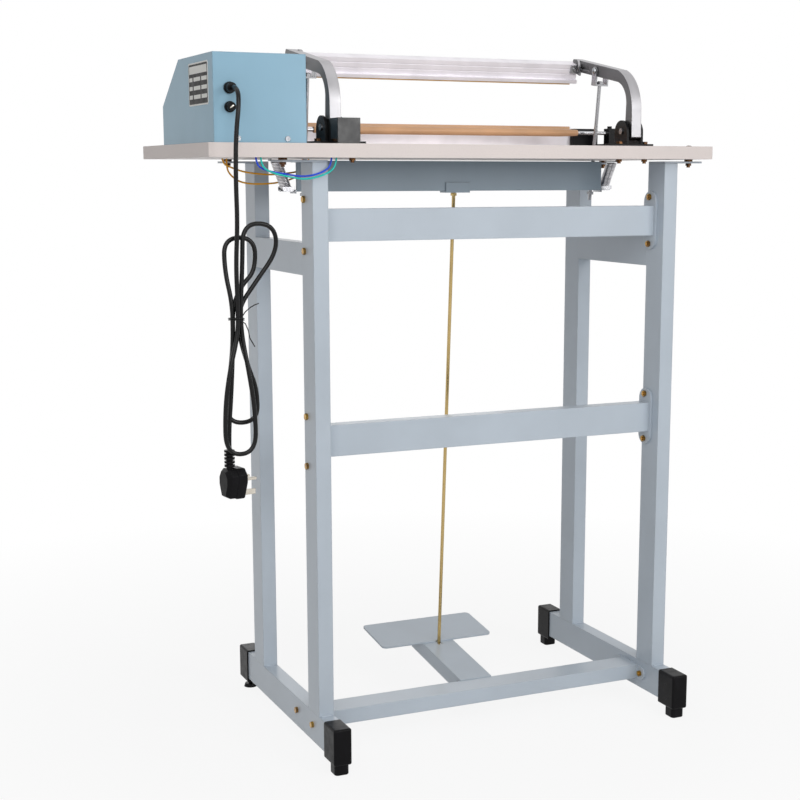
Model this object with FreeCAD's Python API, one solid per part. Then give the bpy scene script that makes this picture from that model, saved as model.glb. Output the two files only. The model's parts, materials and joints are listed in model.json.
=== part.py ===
"""Foot-pedal impulse heat sealer on a welded tube stand.

Millimetres. +Z is up, the operator stands on the -Y side and +X is the operator's right.
The origin is on the floor, midway between the ends of the foot tubes and the table's ends.
The jaw is modelled open, as it stands when nobody presses the pedal.
"""
import FreeCAD
import Part
import math
import os
from FreeCAD import Vector as V

# Table
TABLE_L = 870.0
TABLE_D = 383.0
TABLE_T = 21.0
TABLE_TOP_Z = 978.0
TABLE_MID_Y = 6.5
TOP_PLATE_T = 3.0
TOP_PLATE_EAR = 48.0     # ear beyond the leg's outer side
TOP_PLATE_GAP = 3.5      # spacer washers between plate and board
TABLE_BOLT_OUT = 38.0    # bolt centre beyond the leg's outer side
BOLT_R = 3.0
BOLT_CLEARANCE = 0.3
HEX_ACROSS = 9.5         # across the flats of bolt heads and nuts
HEAD_T = 4.0
NUT_T = 4.0
WASHER_R = 7.0
DOME_R = 7.0
DOME_T = 2.5
SCREW_DEPTH = 15.0       # screws that end inside the board
BOLT_TAIL = 3.0          # beyond a nut

# Stand
TUBE_W = 25.0            # rectangular tube, narrow side
TUBE_H = 50.0            # rectangular tube, wide side
TUBE_WALL = 1.5
STAND_INSET = 219.0      # table's length less the span of the legs
STAND_SPAN = TABLE_L - STAND_INSET
STAND_SHIFT = -58.5      # middle of the legs from the middle of the table
LEG_INSET = 51.0         # legs' middles from the table's front and rear edges
LEG_SPREAD = TABLE_D - 2 * LEG_INSET
LEG_MID_Y = TABLE_MID_Y
FOOT_LENGTH = 486.0      # foot tube, without its end caps
FOOT_BASE_Z = 24.5       # underside of the foot tubes
RAIL_DROP = 129.0        # rails below the table's underside
RAIL_TOP_Z = TABLE_TOP_Z - TABLE_T - RAIL_DROP
UPPER_BAR_DROP = 102.0
UPPER_BAR_Z = TABLE_TOP_Z - TABLE_T - UPPER_BAR_DROP
MIDDLE_BAR_Z = 518.0
LOWER_BAR_Z = 52.5
LOWER_BAR_FORWARD = 43.0 # ahead of the rear legs' middles
LOWER_BAR_Y = LEG_MID_Y + LEG_SPREAD / 2 - LOWER_BAR_FORWARD
END_PLATE_T = 4.0
END_PLATE_H = 98.0
END_PLATE_W = 36.0
PLATE_BOLT_PITCH = 79.0
LOWER_BOLT_PITCH = 75.0  # on the lower crossbar's end plates
CAP_WALL = 2.5
CAP_LENGTH = 46.0
CAP_EDGE_R = 3.5
CAP_BASE = 7.5           # thickness under the tube
CAP_LIP = 2.0            # closed end of a cap
FOOT_BLOCK_W = 24.0
FOOT_BLOCK_L = 26.0
FOOT_BLOCK_R = 6.0
LEVEL_DISC_R = 12.0
LEVEL_DISC_T = 6.0
LEVEL_STUD_R = 4.0

# Jaw hinge and arms
JAW_MID_X = -44.0        # middle of the jaw from the middle of the table
ARM_INSET = 336.0        # table's length less the pitch of the arms
ARM_PITCH = TABLE_L - ARM_INSET
ARM_W = 18.0
HINGE_INSET = 63.0       # hinge line from the table's rear edge
HINGE_Y = TABLE_MID_Y + TABLE_D / 2 - HINGE_INSET
HINGE_UP = 25.0          # above the table
HINGE_Z = TABLE_TOP_Z + HINGE_UP
JAW_OPENING = 22.0       # degrees from closed to open
HINGE_PIN_R = 5.0
RUNNING_CLEARANCE = 0.08
SIDE_CLEARANCE = 0.6
EAR_T = 4.0
EAR_GAP = 2.6            # arm to ear, with a collar of the pin between them
COLLAR_R = 8.0
COLLAR_GAP = 0.3
EAR_DEPTH = 40.0
EAR_FORWARD = 2.0        # middle of the ear ahead of the hinge line
EAR_TOP = 18.0           # ear above the hinge line
BRACKET_BASE_T = 4.0
BRACKET_BASE_D = 48.0
BRACKET_IN = 34.0        # flange towards the jaw's middle
BRACKET_OUT = 18.0
BRACKET_BOLT_OUT = 9.0   # bolts beyond the ears
BRACKET_BOLT_IN = 16.5   # the one beside the switch housing
BRACKET_BOLT_BACK = 11.0 # behind the ears' middle
ARM_POCKET = 3.0
ARM_BOSS_R = 15.0
ARM_BACK = 22.0          # hinge line to the arm's rear face
ARM_DEPTH = 19.5         # through the arm, rear face to inner face
ARM_HEEL_DROP = 10.0
ARM_SHOULDER_UP = 32.0   # start of the curve, above the hinge line
ARM_CROWN_UP = 101.5     # end of the curve
ARM_CROWN_FORWARD = 27.0
ARM_REACH = 175.0        # hinge line to the tip
ARM_TIP_UP = 129.0
ARM_TIP_DEPTH = 21.0
ARM_TIP_R = 6.0
POCKET_LONG = 40.0
POCKET_HIGH = 8.5

# Jaw bars, in the closed position
JAW_FORWARD = 199.0      # hinge line to the middle of the jaw
JAW_UP = 38.0            # lower jaw's face above the table
JAW_TOP_Z = TABLE_TOP_Z + JAW_UP
BAR_WEB_D = 18.0
BAR_HEIGHT = 32.0
BAR_FLANGE_D = 30.0
BAR_FLANGE_T = 6.0
BAR_GROOVE = 1.6
STRIP_W = 12.0
STRIP_T = 5.0
STRIP_END_GAP = 8.0
JAW_GAP = 0.4            # left between strip and cover when closed
BAR_END_GAP = 0.5
LUG_W = 15.0
LUG_H = 14.0
LUG_T = 3.0
LOWER_JAW_D = 28.0
LOWER_JAW_WALL = 3.0
ELEMENT_W = 5.0
ELEMENT_T = 0.4
COVER_T = 0.6
END_BLOCK_L = 50.0
END_BLOCK_H = 34.0
END_BLOCK_D = 50.0
END_BLOCK_IN = 8.0       # reaches this far past the arm's middle

# Pull linkage
PULL_PIVOT_FORWARD = 97.0
PULL_PIVOT_UP = 104.0
PULL_PIN_R = 3.0
FORK_T = 3.0
FORK_W = 14.0
FORK_DROP = 22.0
PULL_ROD_R = 3.2
BEAM_BACK = 121.0        # hinge line to the beam's middle
BEAM_Y = HINGE_Y - BEAM_BACK
BEAM_DROP = 52.0         # beam's underside below the table's
BEAM_BASE_Z = TABLE_TOP_Z - TABLE_T - BEAM_DROP
BEAM_H = 49.0
BEAM_D = 26.0
BEAM_T = 3.0
BEAM_RIGHT = 18.0        # beyond the right arm's middle
BEAM_LEFT = 11.5
PULL_SLOT_SIDE = 0.6     # slots in the beam: room beside each pull rod
PULL_SLOT_SWING = 4.8    # and room for its swing
PULL_ROD_TAIL = 14.0
PULL_SLOT_W = 12.0
PULL_SLOT_D = 32.0
PEDAL_ROD_R = 3.0
TAB_W = 44.0
TAB_H = 17.0
TAB_D = 22.0
TAB_T = 3.0

# Return springs
SPRING_R = 8.5           # to the wire's centre
SPRING_WIRE_R = 1.15
SPRING_TURNS = 14
SPRING_SPLAY = 16.0      # top further out than the bottom
SPRING_OUT = 13.0        # bottom beyond the beam's end
SPRING_TOP_GAP = 2.0
SPRING_FOOT_Z = BEAM_BASE_Z + 3.0
HOOK_T = 2.0
HOOK_W = 12.0

# Pedal
PEDAL_X = STAND_SHIFT
PEDAL_PIVOT_GAP = 9.0    # pivot ahead of the lower crossbar's face
PEDAL_PIVOT_Z = 58.5
PEDAL_PIN_R = 4.0
PEDAL_TILT = 7.3         # degrees, front end up
LEVER_W = 60.0
LEVER_H = 26.0
LEVER_T = 2.5
LEVER_BACK = 8.0         # behind the pivot
LEVER_FRONT = 200.0      # ahead of the pivot
LEVER_PIVOT_DROP = 9.0   # pivot below the lever's top
LEVER_END_R = 8.6        # rounded rear end of the lever's sides
PEDAL_EAR_T = 5.0
PEDAL_EAR_ROOM = 0.5     # ear to the lever's underside
PEDAL_NUT_GAP = 3.5      # lever to the nut on the pedal rod below it
FOOT_PLATE_W = 218.0
FOOT_PLATE_D = 103.0
FOOT_PLATE_T = 3.0
FOOT_PLATE_R = 8.5
FOOT_PLATE_BACK = 151.0  # pivot to the plate's rear edge
PEDAL_ROD_FORWARD = 145.0
PEDAL_ROD_SLOT = 14.0
PEDAL_ROD_TAIL = 22.0
PEDAL_ROD_HEAD = 14.0    # above the beam's underside
PEDAL_NUT_ACROSS = 10.0

# Cloth roll behind the lower jaw
ROLL_BEHIND = 62.0       # behind the middle of the jaw
ROLL_UP = 25.5           # roll's middle above the table
ROLL_Z = TABLE_TOP_Z + ROLL_UP
ROLL_ROD_R = 3.2
ROLL_R = 6.1
ROLL_END_GAP = 13.0      # roll's end to the arm's inner face
POST_L = 12.0
POST_D = 18.0
POST_OUT = 44.0          # arm's centre to the post's centre
POST_TOP = 8.0           # above the rod's centre

# Switch housing
SWITCH_W = 36.5
SWITCH_D = 56.0
SWITCH_H = 38.0
SWITCH_WALL = 1.6
SWITCH_GAP = 0.4         # housing's side to the arm
SWITCH_BACK = 59.0       # hinge line to the housing's rear
SWITCH_TOP_D = 33.0      # roof behind the arm
MICRO_W = 18.5
MICRO_D = 12.0
MICRO_H = 20.0
MICRO_GAP = 6.0          # microswitch to the housing's rear wall

# Control box
BOX_W = 142.0
BOX_D = 282.0
BOX_H = 128.0
BOX_FRONT_H = 61.0       # upright part of the front
BOX_TOP_D = 183.0        # flat part of the top
BOX_WALL = 1.5
BOX_END_GAP = 10.5       # from the table's end
BOX_REAR_GAP = 6.0       # from the table's rear edge
GLAND_X = 24.0           # gland and fuse from the box's outer side
GLAND_Z = 77.5           # gland above the table
FUSE_Z = 50.5
GLAND_R = 8.5
GLAND_L = 15.0
FUSE_R = 8.0
FUSE_L = 12.0
CORD_D = 6.8
KNOB_R = 17.0
KNOB_H = 15.0
SPINDLE_R = 3.0
PANEL_LAMP_R = 4.5
ROCKER_W = 13.0
ROCKER_L = 19.0
COVER_SCREW_R = 2.0
KNOB_X, KNOB_V = -22.0, 4.0       # on the sloping panel, from its middle
ROCKER_X, ROCKER_V = 38.0, -14.0
LAMP_X, LAMP_V = 38.0, 22.0
ROCKER_GAP = 0.5

# Leads, cord and plug
LEAD_R = 1.4
LEAD_ROOT = 6.0          # how far each end reaches up its hole
LEAD_HOLE_R = 1.9
TIE_OUT = 9.5            # tie from the gland: outwards, backwards and down
TIE_BACK = 42.0
TIE_DROP = 330.5
TIE_R = 12.2
TIE_T = 1.2
TIE_H = 6.0
SLEEVE_L = 27.0
SLEEVE_RIBS = 5
PLUG_H = 46.0
PLUG_W = 42.0
PLUG_T = 30.0
PLUG_TURN = 10.0         # hangs a little turned, its cover to the rear
PLUG_FACE = 19.0         # cord's middle to the face with the pins
PLUG_SEAM = 14.0         # face to the seam of the cover
SLEEVE_R = 7.8           # over the ribs
SLEEVE_CORE_R = 5.0
RIB_T = 3.0
PIN_PITCH = 22.2


def box(x0, x1, y0, y1, z0, z1):
    """Block between two corners."""
    return Part.makeBox(x1 - x0, y1 - y0, z1 - z0, V(x0, y0, z0))


def rod(start, axis, radius, length):
    """Round bar from a point along an axis."""
    return Part.makeCylinder(radius, length, V(*start), V(*axis))


def hexagon(start, axis, across, length):
    """Hexagonal nut or bolt head from a point along an axis."""
    radius = across / math.sqrt(3)
    corners = [V(radius * math.cos(math.pi * k / 3), radius * math.sin(math.pi * k / 3), 0) for k in range(7)]
    shape = Part.Face(Part.makePolygon(corners)).extrude(V(0, 0, length))
    shape.Placement = FreeCAD.Placement(V(*start), FreeCAD.Rotation(V(0, 0, 1), V(*axis)))
    return shape


def profile_x(points, x0, x1):
    """Solid between x0 and x1 from an outline of (y, z) points; a triple of points is an arc."""
    edges = []
    last = None
    for item in points:
        if isinstance(item[0], tuple):
            middle, end = item
            edges.append(Part.Arc(V(x0, *last), V(x0, *middle), V(x0, *end)).toShape())
            last = end
        else:
            if last is not None:
                edges.append(Part.makeLine(V(x0, *last), V(x0, *item)))
            last = item
    first = points[0]
    if math.dist(last, first) > 1e-6:
        edges.append(Part.makeLine(V(x0, *last), V(x0, *first)))
    return Part.Face(Part.Wire(edges)).extrude(V(x1 - x0, 0, 0))


def rect_tube(x0, x1, y0, y1, z0, z1, along):
    """Rectangular tube with open ends along the named axis."""
    outer = box(x0, x1, y0, y1, z0, z1)
    w = TUBE_WALL
    grow = {"x": (-1, w, w), "y": (w, -1, w), "z": (w, w, -1)}[along]
    inner = box(x0 + grow[0], x1 - grow[0], y0 + grow[1], y1 - grow[1], z0 + grow[2], z1 - grow[2])
    return outer.cut(inner)


def about_x(shape, y, z, degrees):
    """Copy of a shape turned about an axis along X."""
    turned = shape.copy()
    turned.rotate(V(0, y, z), V(1, 0, 0), degrees)
    return turned


def fused(shapes):
    """One solid from touching shapes."""
    return shapes[0].multiFuse(shapes[1:]).removeSplitter()


def rounded_wire(points):
    """Straight runs joined by tangent arcs through hand-placed points."""
    points = [V(*p) for p in points]
    edges = []
    tightest = 1e9
    last = points[0]
    for before, corner, after in zip(points, points[1:], points[2:]):
        d1 = (corner - before).normalize()
        d2 = (after - corner).normalize()
        turn = d1.getAngle(d2)
        shorter = min((corner - before).Length, (after - corner).Length)
        radius = 0.45 * shorter / math.tan(turn / 2)
        tightest = min(tightest, radius)
        back = 0.45 * shorter
        start = corner - d1 * back
        end = corner + d2 * back
        toward = (d2 - d1).normalize()
        centre = corner + toward * (radius / math.cos(turn / 2))
        middle = centre - toward * radius
        edges.append(Part.makeLine(last, start))
        edges.append(Part.Arc(start, middle, end).toShape())
        last = end
    edges.append(Part.makeLine(last, points[-1]))
    return Part.Wire(edges), tightest


def tube_along(points, diameter, name):
    """Round cord along hand-placed points, with its least bend and its volume printed."""
    wire, tightest = rounded_wire(points)
    first = V(*points[0])
    heading = V(*points[1]) - first
    circle = Part.Wire(Part.makeCircle(diameter / 2, first, heading))
    solid = wire.makePipeShell([circle], True, False)
    section = math.pi * diameter ** 2 / 4
    print(name, "length %.0f" % wire.Length, "least radius %.1f" % tightest,
          "volume ratio %.4f" % (solid.Volume / (section * wire.Length)))
    return solid, wire


def self_gap(wire, diameter, name):
    """Prints the least clear distance between parts of one cord that aren't neighbours along it."""
    step = diameter / 2
    count = int(wire.Length / step)
    spots = wire.discretize(Number=count)
    skip = int(3.0 * diameter / step)
    least = min((spots[i] - spots[j]).Length
                for i in range(len(spots)) for j in range(i + skip, len(spots)))
    print(name, "least gap to itself %.2f" % (least - diameter))


nodes = {}


def bolt_through_x(x_head, x_end, y, z, direction):
    """Hex bolt along X: its head at x_head, its nut's far side at x_end."""
    length = abs(x_end - x_head) - HEAD_T
    head = hexagon((x_head, y, z), (direction, 0, 0), HEX_ACROSS, HEAD_T)
    shank = rod((x_head + direction * HEAD_T, y, z), (direction, 0, 0), BOLT_R, length)
    return head.fuse(shank)


# Stand: places
leg_out = {"right": STAND_SHIFT + STAND_SPAN / 2, "left": STAND_SHIFT - STAND_SPAN / 2}
leg_x = {"right": leg_out["right"] - TUBE_W / 2, "left": leg_out["left"] + TUBE_W / 2}
leg_y = {"front": LEG_MID_Y - LEG_SPREAD / 2, "rear": LEG_MID_Y + LEG_SPREAD / 2}
foot_top_z = FOOT_BASE_Z + TUBE_H
table_base_z = TABLE_TOP_Z - TABLE_T
top_plate_z = table_base_z - TOP_PLATE_GAP - TOP_PLATE_T
foot_half = FOOT_LENGTH / 2
out_sign = {"right": 1, "left": -1}
HOLE_R = BOLT_R + BOLT_CLEARANCE
crossbar_y0 = leg_y["rear"] - TUBE_H / 2
crossbar_y1 = crossbar_y0 + TUBE_W
crossbar_y = (crossbar_y0 + crossbar_y1) / 2
rail_z0 = RAIL_TOP_Z - TUBE_H

foot_tubes = []
legs = {"front": [], "rear": []}
side_rails = []
frame_bolts = []
for side in ("right", "left"):
    s = out_sign[side]
    x0 = leg_x[side] - TUBE_W / 2
    x1 = leg_x[side] + TUBE_W / 2
    inner_x = leg_x[side] - s * TUBE_W / 2
    outer_x = leg_out[side]
    # Foot tube with holes for the lower crossbar's bolts
    foot = rect_tube(x0, x1, -foot_half, foot_half, FOOT_BASE_Z, foot_top_z, "y")
    lower_bolts = [(LOWER_BAR_Y + k * LOWER_BOLT_PITCH / 2, LOWER_BAR_Z) for k in (-1, 1)]
    for y, z in lower_bolts:
        foot = foot.cut(rod((x0 - 1, y, z), (1, 0, 0), HOLE_R, TUBE_W + 2))
    foot_tubes.append(foot)
    # Legs, side rail and top plates
    for end in ("front", "rear"):
        y0 = leg_y[end] - TUBE_H / 2
        leg = rect_tube(x0, x1, y0, y0 + TUBE_H, foot_top_z, top_plate_z, "z")
        if end == "rear":
            for bar_z in (UPPER_BAR_Z, MIDDLE_BAR_Z):
                for k in (-1, 1):
                    z = bar_z + k * PLATE_BOLT_PITCH / 2
                    leg = leg.cut(rod((x0 - 1, crossbar_y, z), (1, 0, 0), HOLE_R, TUBE_W + 2))
        legs[end].append(leg)
    side_rails.append(rect_tube(x0, x1, leg_y["front"] + TUBE_H / 2, leg_y["rear"] - TUBE_H / 2,
                                rail_z0, RAIL_TOP_Z, "y"))
    # Bolts that hold the crossbars to this side
    spots = [(crossbar_y, b + k * PLATE_BOLT_PITCH / 2) for b in (UPPER_BAR_Z, MIDDLE_BAR_Z) for k in (-1, 1)]
    for y, z in spots + lower_bolts:
        head_x = outer_x + s * HEAD_T
        nut_x = inner_x - s * END_PLATE_T
        frame_bolts.append(bolt_through_x(head_x, nut_x - s * (NUT_T + 1.5), y, z, -s))
        nut = hexagon((nut_x, y, z), (-s, 0, 0), HEX_ACROSS, NUT_T)
        frame_bolts.append(nut.cut(rod((nut_x + s, y, z), (-s, 0, 0), BOLT_R + 0.05, NUT_T + 2)))
nodes["foot_tubes"] = Part.Compound(foot_tubes)
nodes["front_legs"] = Part.Compound(legs["front"])
nodes["rear_legs"] = Part.Compound(legs["rear"])
nodes["side_rails"] = Part.Compound(side_rails)
nodes["frame_bolts"] = Part.Compound(frame_bolts)

inner_right = leg_x["right"] - TUBE_W / 2
inner_left = leg_x["left"] + TUBE_W / 2


def end_plate(x0, centre, half_long, half_wide, vertical):
    """Plate with rounded ends at a crossbar's end, long upright or long along Y, with two bolt holes."""
    y, z = centre
    reach = half_long - half_wide
    if vertical:
        body = box(x0, x0 + END_PLATE_T, y - half_wide, y + half_wide, z - reach, z + reach)
        tips = [(y, z - reach), (y, z + reach)]
    else:
        body = box(x0, x0 + END_PLATE_T, y - reach, y + reach, z - half_wide, z + half_wide)
        tips = [(y - reach, z), (y + reach, z)]
    return fused([body] + [rod((x0, a, b), (1, 0, 0), half_wide, END_PLATE_T) for a, b in tips])


def crossbar(bar_z, y0, y1, z0, z1, vertical, pitch):
    """Crossbar tube between the two sides with its welded end plates."""
    y = (y0 + y1) / 2
    half_long = END_PLATE_H / 2
    half_wide = (END_PLATE_W if vertical else TUBE_W) / 2
    centre = (y, bar_z)
    plates = [end_plate(inner_left, centre, half_long, half_wide, vertical),
              end_plate(inner_right - END_PLATE_T, centre, half_long, half_wide, vertical)]
    bar = rect_tube(inner_left + END_PLATE_T, inner_right - END_PLATE_T, y0, y1, z0, z1, "x")
    shape = fused([bar] + plates)
    for k in (-1, 1):
        hy, hz = (y, bar_z + k * pitch / 2) if vertical else (y + k * pitch / 2, bar_z)
        shape = shape.cut(rod((inner_left - 1, hy, hz), (1, 0, 0), HOLE_R, END_PLATE_T + 2))
        shape = shape.cut(rod((inner_right + 1, hy, hz), (-1, 0, 0), HOLE_R, END_PLATE_T + 2))
    return shape


nodes["rear_crossbars"] = Part.Compound([crossbar(bar_z, crossbar_y0, crossbar_y1, bar_z - TUBE_H / 2,
                                                  bar_z + TUBE_H / 2, True, PLATE_BOLT_PITCH)
                                         for bar_z in (UPPER_BAR_Z, MIDDLE_BAR_Z)])

# Lower crossbar lies flat and carries the two ears of the pedal's hinge
lower_y0 = LOWER_BAR_Y - TUBE_H / 2
lower_z1 = LOWER_BAR_Z + TUBE_W / 2
lower_bar = crossbar(LOWER_BAR_Z, lower_y0, lower_y0 + TUBE_H, LOWER_BAR_Z - TUBE_W / 2, lower_z1, False,
                     LOWER_BOLT_PITCH)
pedal_y = lower_y0 - PEDAL_PIVOT_GAP
pedal_ear_gap = LEVER_W / 2 - LEVER_T - SIDE_CLEARANCE
pedal_ear_r = LEVER_PIVOT_DROP - LEVER_T - PEDAL_EAR_ROOM
pedal_ears = []
for s in (-1, 1):
    x0 = PEDAL_X + s * (pedal_ear_gap - PEDAL_EAR_T / 2) - PEDAL_EAR_T / 2
    root = box(x0, x0 + PEDAL_EAR_T, pedal_y, lower_y0 + TUBE_WALL, PEDAL_PIVOT_Z - pedal_ear_r,
               PEDAL_PIVOT_Z + pedal_ear_r / 2)
    ear = fused([root, rod((x0, pedal_y, PEDAL_PIVOT_Z), (1, 0, 0), pedal_ear_r, PEDAL_EAR_T)])
    pedal_ears.append(ear.cut(rod((x0 - 1, pedal_y, PEDAL_PIVOT_Z), (1, 0, 0), PEDAL_PIN_R, PEDAL_EAR_T + 2)))
nodes["lower_crossbar"] = fused([lower_bar] + pedal_ears)

# End caps with moulded feet; the front right one stands on a screw foot
caps = []
cap_x = CAP_WALL + TUBE_W / 2
for side in ("right", "left"):
    for end, s in (("front", -1), ("rear", 1)):
        x = leg_x[side]
        inner_end = s * (foot_half - CAP_LENGTH + CAP_LIP)
        outer_end = s * (foot_half + CAP_LIP)
        y0, y1 = min(inner_end, outer_end), max(inner_end, outer_end)
        z0, z1 = FOOT_BASE_Z - CAP_BASE, foot_top_z + CAP_WALL
        cap = box(x - cap_x, x + cap_x, y0, y1, z0, z1)
        cap = cap.makeFillet(CAP_EDGE_R, [e for e in cap.Edges if abs(e.CenterOfMass.y - inner_end) > 1e-6])
        cap = cap.cut(box(x - TUBE_W / 2, x + TUBE_W / 2, -foot_half, foot_half, FOOT_BASE_Z, foot_top_z))
        middle = s * (foot_half + CAP_LIP - FOOT_BLOCK_L / 2 - 4.0)
        if (side, end) == ("right", "front"):
            boss = rod((x, middle, z0 - 3.0), (0, 0, 1), LEVEL_STUD_R + 4.0, 3.0)
            cap = fused([cap, boss])
            cap = cap.cut(rod((x, middle, 0), (0, 0, 1), LEVEL_STUD_R + RUNNING_CLEARANCE, FOOT_BASE_Z))
            stud = rod((x, middle, LEVEL_DISC_T), (0, 0, 1), LEVEL_STUD_R, FOOT_BASE_Z - LEVEL_DISC_T - 0.5)
            disc = Part.makeCone(LEVEL_DISC_R, LEVEL_DISC_R - 2.0, LEVEL_DISC_T, V(x, middle, 0))
            nodes["levelling_foot"] = fused([disc, stud])
        else:
            block = box(x - FOOT_BLOCK_W / 2, x + FOOT_BLOCK_W / 2, middle - FOOT_BLOCK_L / 2,
                        middle + FOOT_BLOCK_L / 2, 0, z0)
            block = block.makeFillet(FOOT_BLOCK_R, [e for e in block.Edges
                                                    if abs(e.tangentAt(e.FirstParameter).z) > 0.9])
            block = block.makeFillet(2.0, [e for e in block.Edges if abs(e.CenterOfMass.z) < 1e-6])
            cap = fused([cap, block])
        caps.append(cap)
nodes["foot_end_caps"] = Part.Compound(caps)

# Tabletop and how it is bolted to the legs
arm_x = {"right": JAW_MID_X + ARM_PITCH / 2, "left": JAW_MID_X - ARM_PITCH / 2}
table_y0 = TABLE_MID_Y - TABLE_D / 2
table_y1 = TABLE_MID_Y + TABLE_D / 2
board = box(-TABLE_L / 2, TABLE_L / 2, table_y0, table_y1, table_base_z, TABLE_TOP_Z)
for side in ("right", "left"):
    board = board.cut(box(arm_x[side] - PULL_SLOT_W / 2, arm_x[side] + PULL_SLOT_W / 2,
                          BEAM_Y - PULL_SLOT_D / 2 + 4.0, BEAM_Y + PULL_SLOT_D / 2 + 4.0,
                          table_base_z - 1, TABLE_TOP_Z + 1))
top_plates = []
table_bolts = []
table_washers = []
bolt_tail = table_base_z - top_plate_z + NUT_T + 3.0
bolt_spots = []
dome_r = (DOME_R ** 2 + DOME_T ** 2) / (2 * DOME_T)
for side in ("right", "left"):
    s = out_sign[side]
    for end in ("front", "rear"):
        x, y = leg_x[side], leg_y[end]
        plate_x0, plate_x1 = sorted((x - s * TUBE_W / 2, x + s * (TUBE_W / 2 + TOP_PLATE_EAR)))
        plate = box(plate_x0, plate_x1, y - TUBE_H / 2, y + TUBE_H / 2, top_plate_z,
                    top_plate_z + TOP_PLATE_T)
        bx = x + s * (TUBE_W / 2 + TABLE_BOLT_OUT)
        bolt_spots.append((bx, y))
        top_plates.append(plate.cut(rod((bx, y, top_plate_z - 1), (0, 0, 1), HOLE_R, TOP_PLATE_T + 2)))
        board = board.cut(rod((bx, y, table_base_z - 1), (0, 0, 1), HOLE_R, TABLE_T + 2))
        dome = Part.makeSphere(dome_r, V(bx, y, TABLE_TOP_Z + DOME_T - dome_r))
        dome = dome.common(rod((bx, y, TABLE_TOP_Z), (0, 0, 1), DOME_R, DOME_T + 1))
        shank = rod((bx, y, table_base_z - bolt_tail), (0, 0, 1), BOLT_R, TABLE_T + bolt_tail)
        nut = hexagon((bx, y, top_plate_z - NUT_T), (0, 0, 1), HEX_ACROSS, NUT_T)
        table_bolts.append(fused([dome, shank, nut]))
        washer = rod((bx, y, table_base_z - TOP_PLATE_GAP), (0, 0, 1), WASHER_R, TOP_PLATE_GAP)
        table_washers.append(washer.cut(rod((bx, y, table_base_z - 10), (0, 0, 1), HOLE_R, 20)))
nodes["leg_top_plates"] = Part.Compound(top_plates)
nodes["table_bolts"] = Part.Compound(table_bolts + table_washers)

# Hinge brackets, pins and the arms between their ears
jaw_y = HINGE_Y - JAW_FORWARD
ear_x = ARM_W / 2 + EAR_GAP
ear_out = ear_x + EAR_T
bracket_base_z = TABLE_TOP_Z + BRACKET_BASE_T
ear_mid_y = HINGE_Y - EAR_FORWARD
ear_y0 = ear_mid_y - EAR_DEPTH / 2
ear_y1 = ear_mid_y + EAR_DEPTH / 2
bracket_y0 = ear_mid_y - BRACKET_BASE_D / 2
hinge_brackets = []
hinge_pins = []
bracket_bolts = []
PULL_PIVOT_Y = HINGE_Y - PULL_PIVOT_FORWARD
PULL_PIVOT_Z = HINGE_Z + PULL_PIVOT_UP


def arm_outline(y, z):
    """Side outline of an arm in the open pose: heel, curved shoulder, straight reach and rounded tip."""
    rear, inner = y + ARM_BACK, y + ARM_BACK - ARM_DEPTH
    heel_z = z - ARM_HEEL_DROP
    curve = ARM_CROWN_UP - ARM_SHOULDER_UP
    crown_y = y - ARM_CROWN_FORWARD
    under_z = z + ARM_CROWN_UP - ARM_DEPTH
    inner_z = z + ARM_SHOULDER_UP + ARM_DEPTH * 0.77
    tip_y, tip_z = y - ARM_REACH, z + ARM_TIP_UP
    return [(rear, heel_z), (rear - 1, z + ARM_SHOULDER_UP),
            ((y + ARM_BACK / 2, z + ARM_SHOULDER_UP + 0.55 * curve), (crown_y, z + ARM_CROWN_UP)),
            (tip_y, tip_z),
            ((tip_y - ARM_TIP_R * 0.75, tip_z - ARM_TIP_DEPTH * 0.57),
             (tip_y + ARM_TIP_R, tip_z - ARM_TIP_DEPTH)),
            (crown_y, under_z),
            ((inner - 0.3 * (inner - crown_y), inner_z + 0.64 * (under_z - inner_z)), (inner, inner_z)),
            (inner - 2, z + ARM_HEEL_DROP), (((inner + rear) / 2, heel_z - 2), (rear, heel_z))]


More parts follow.
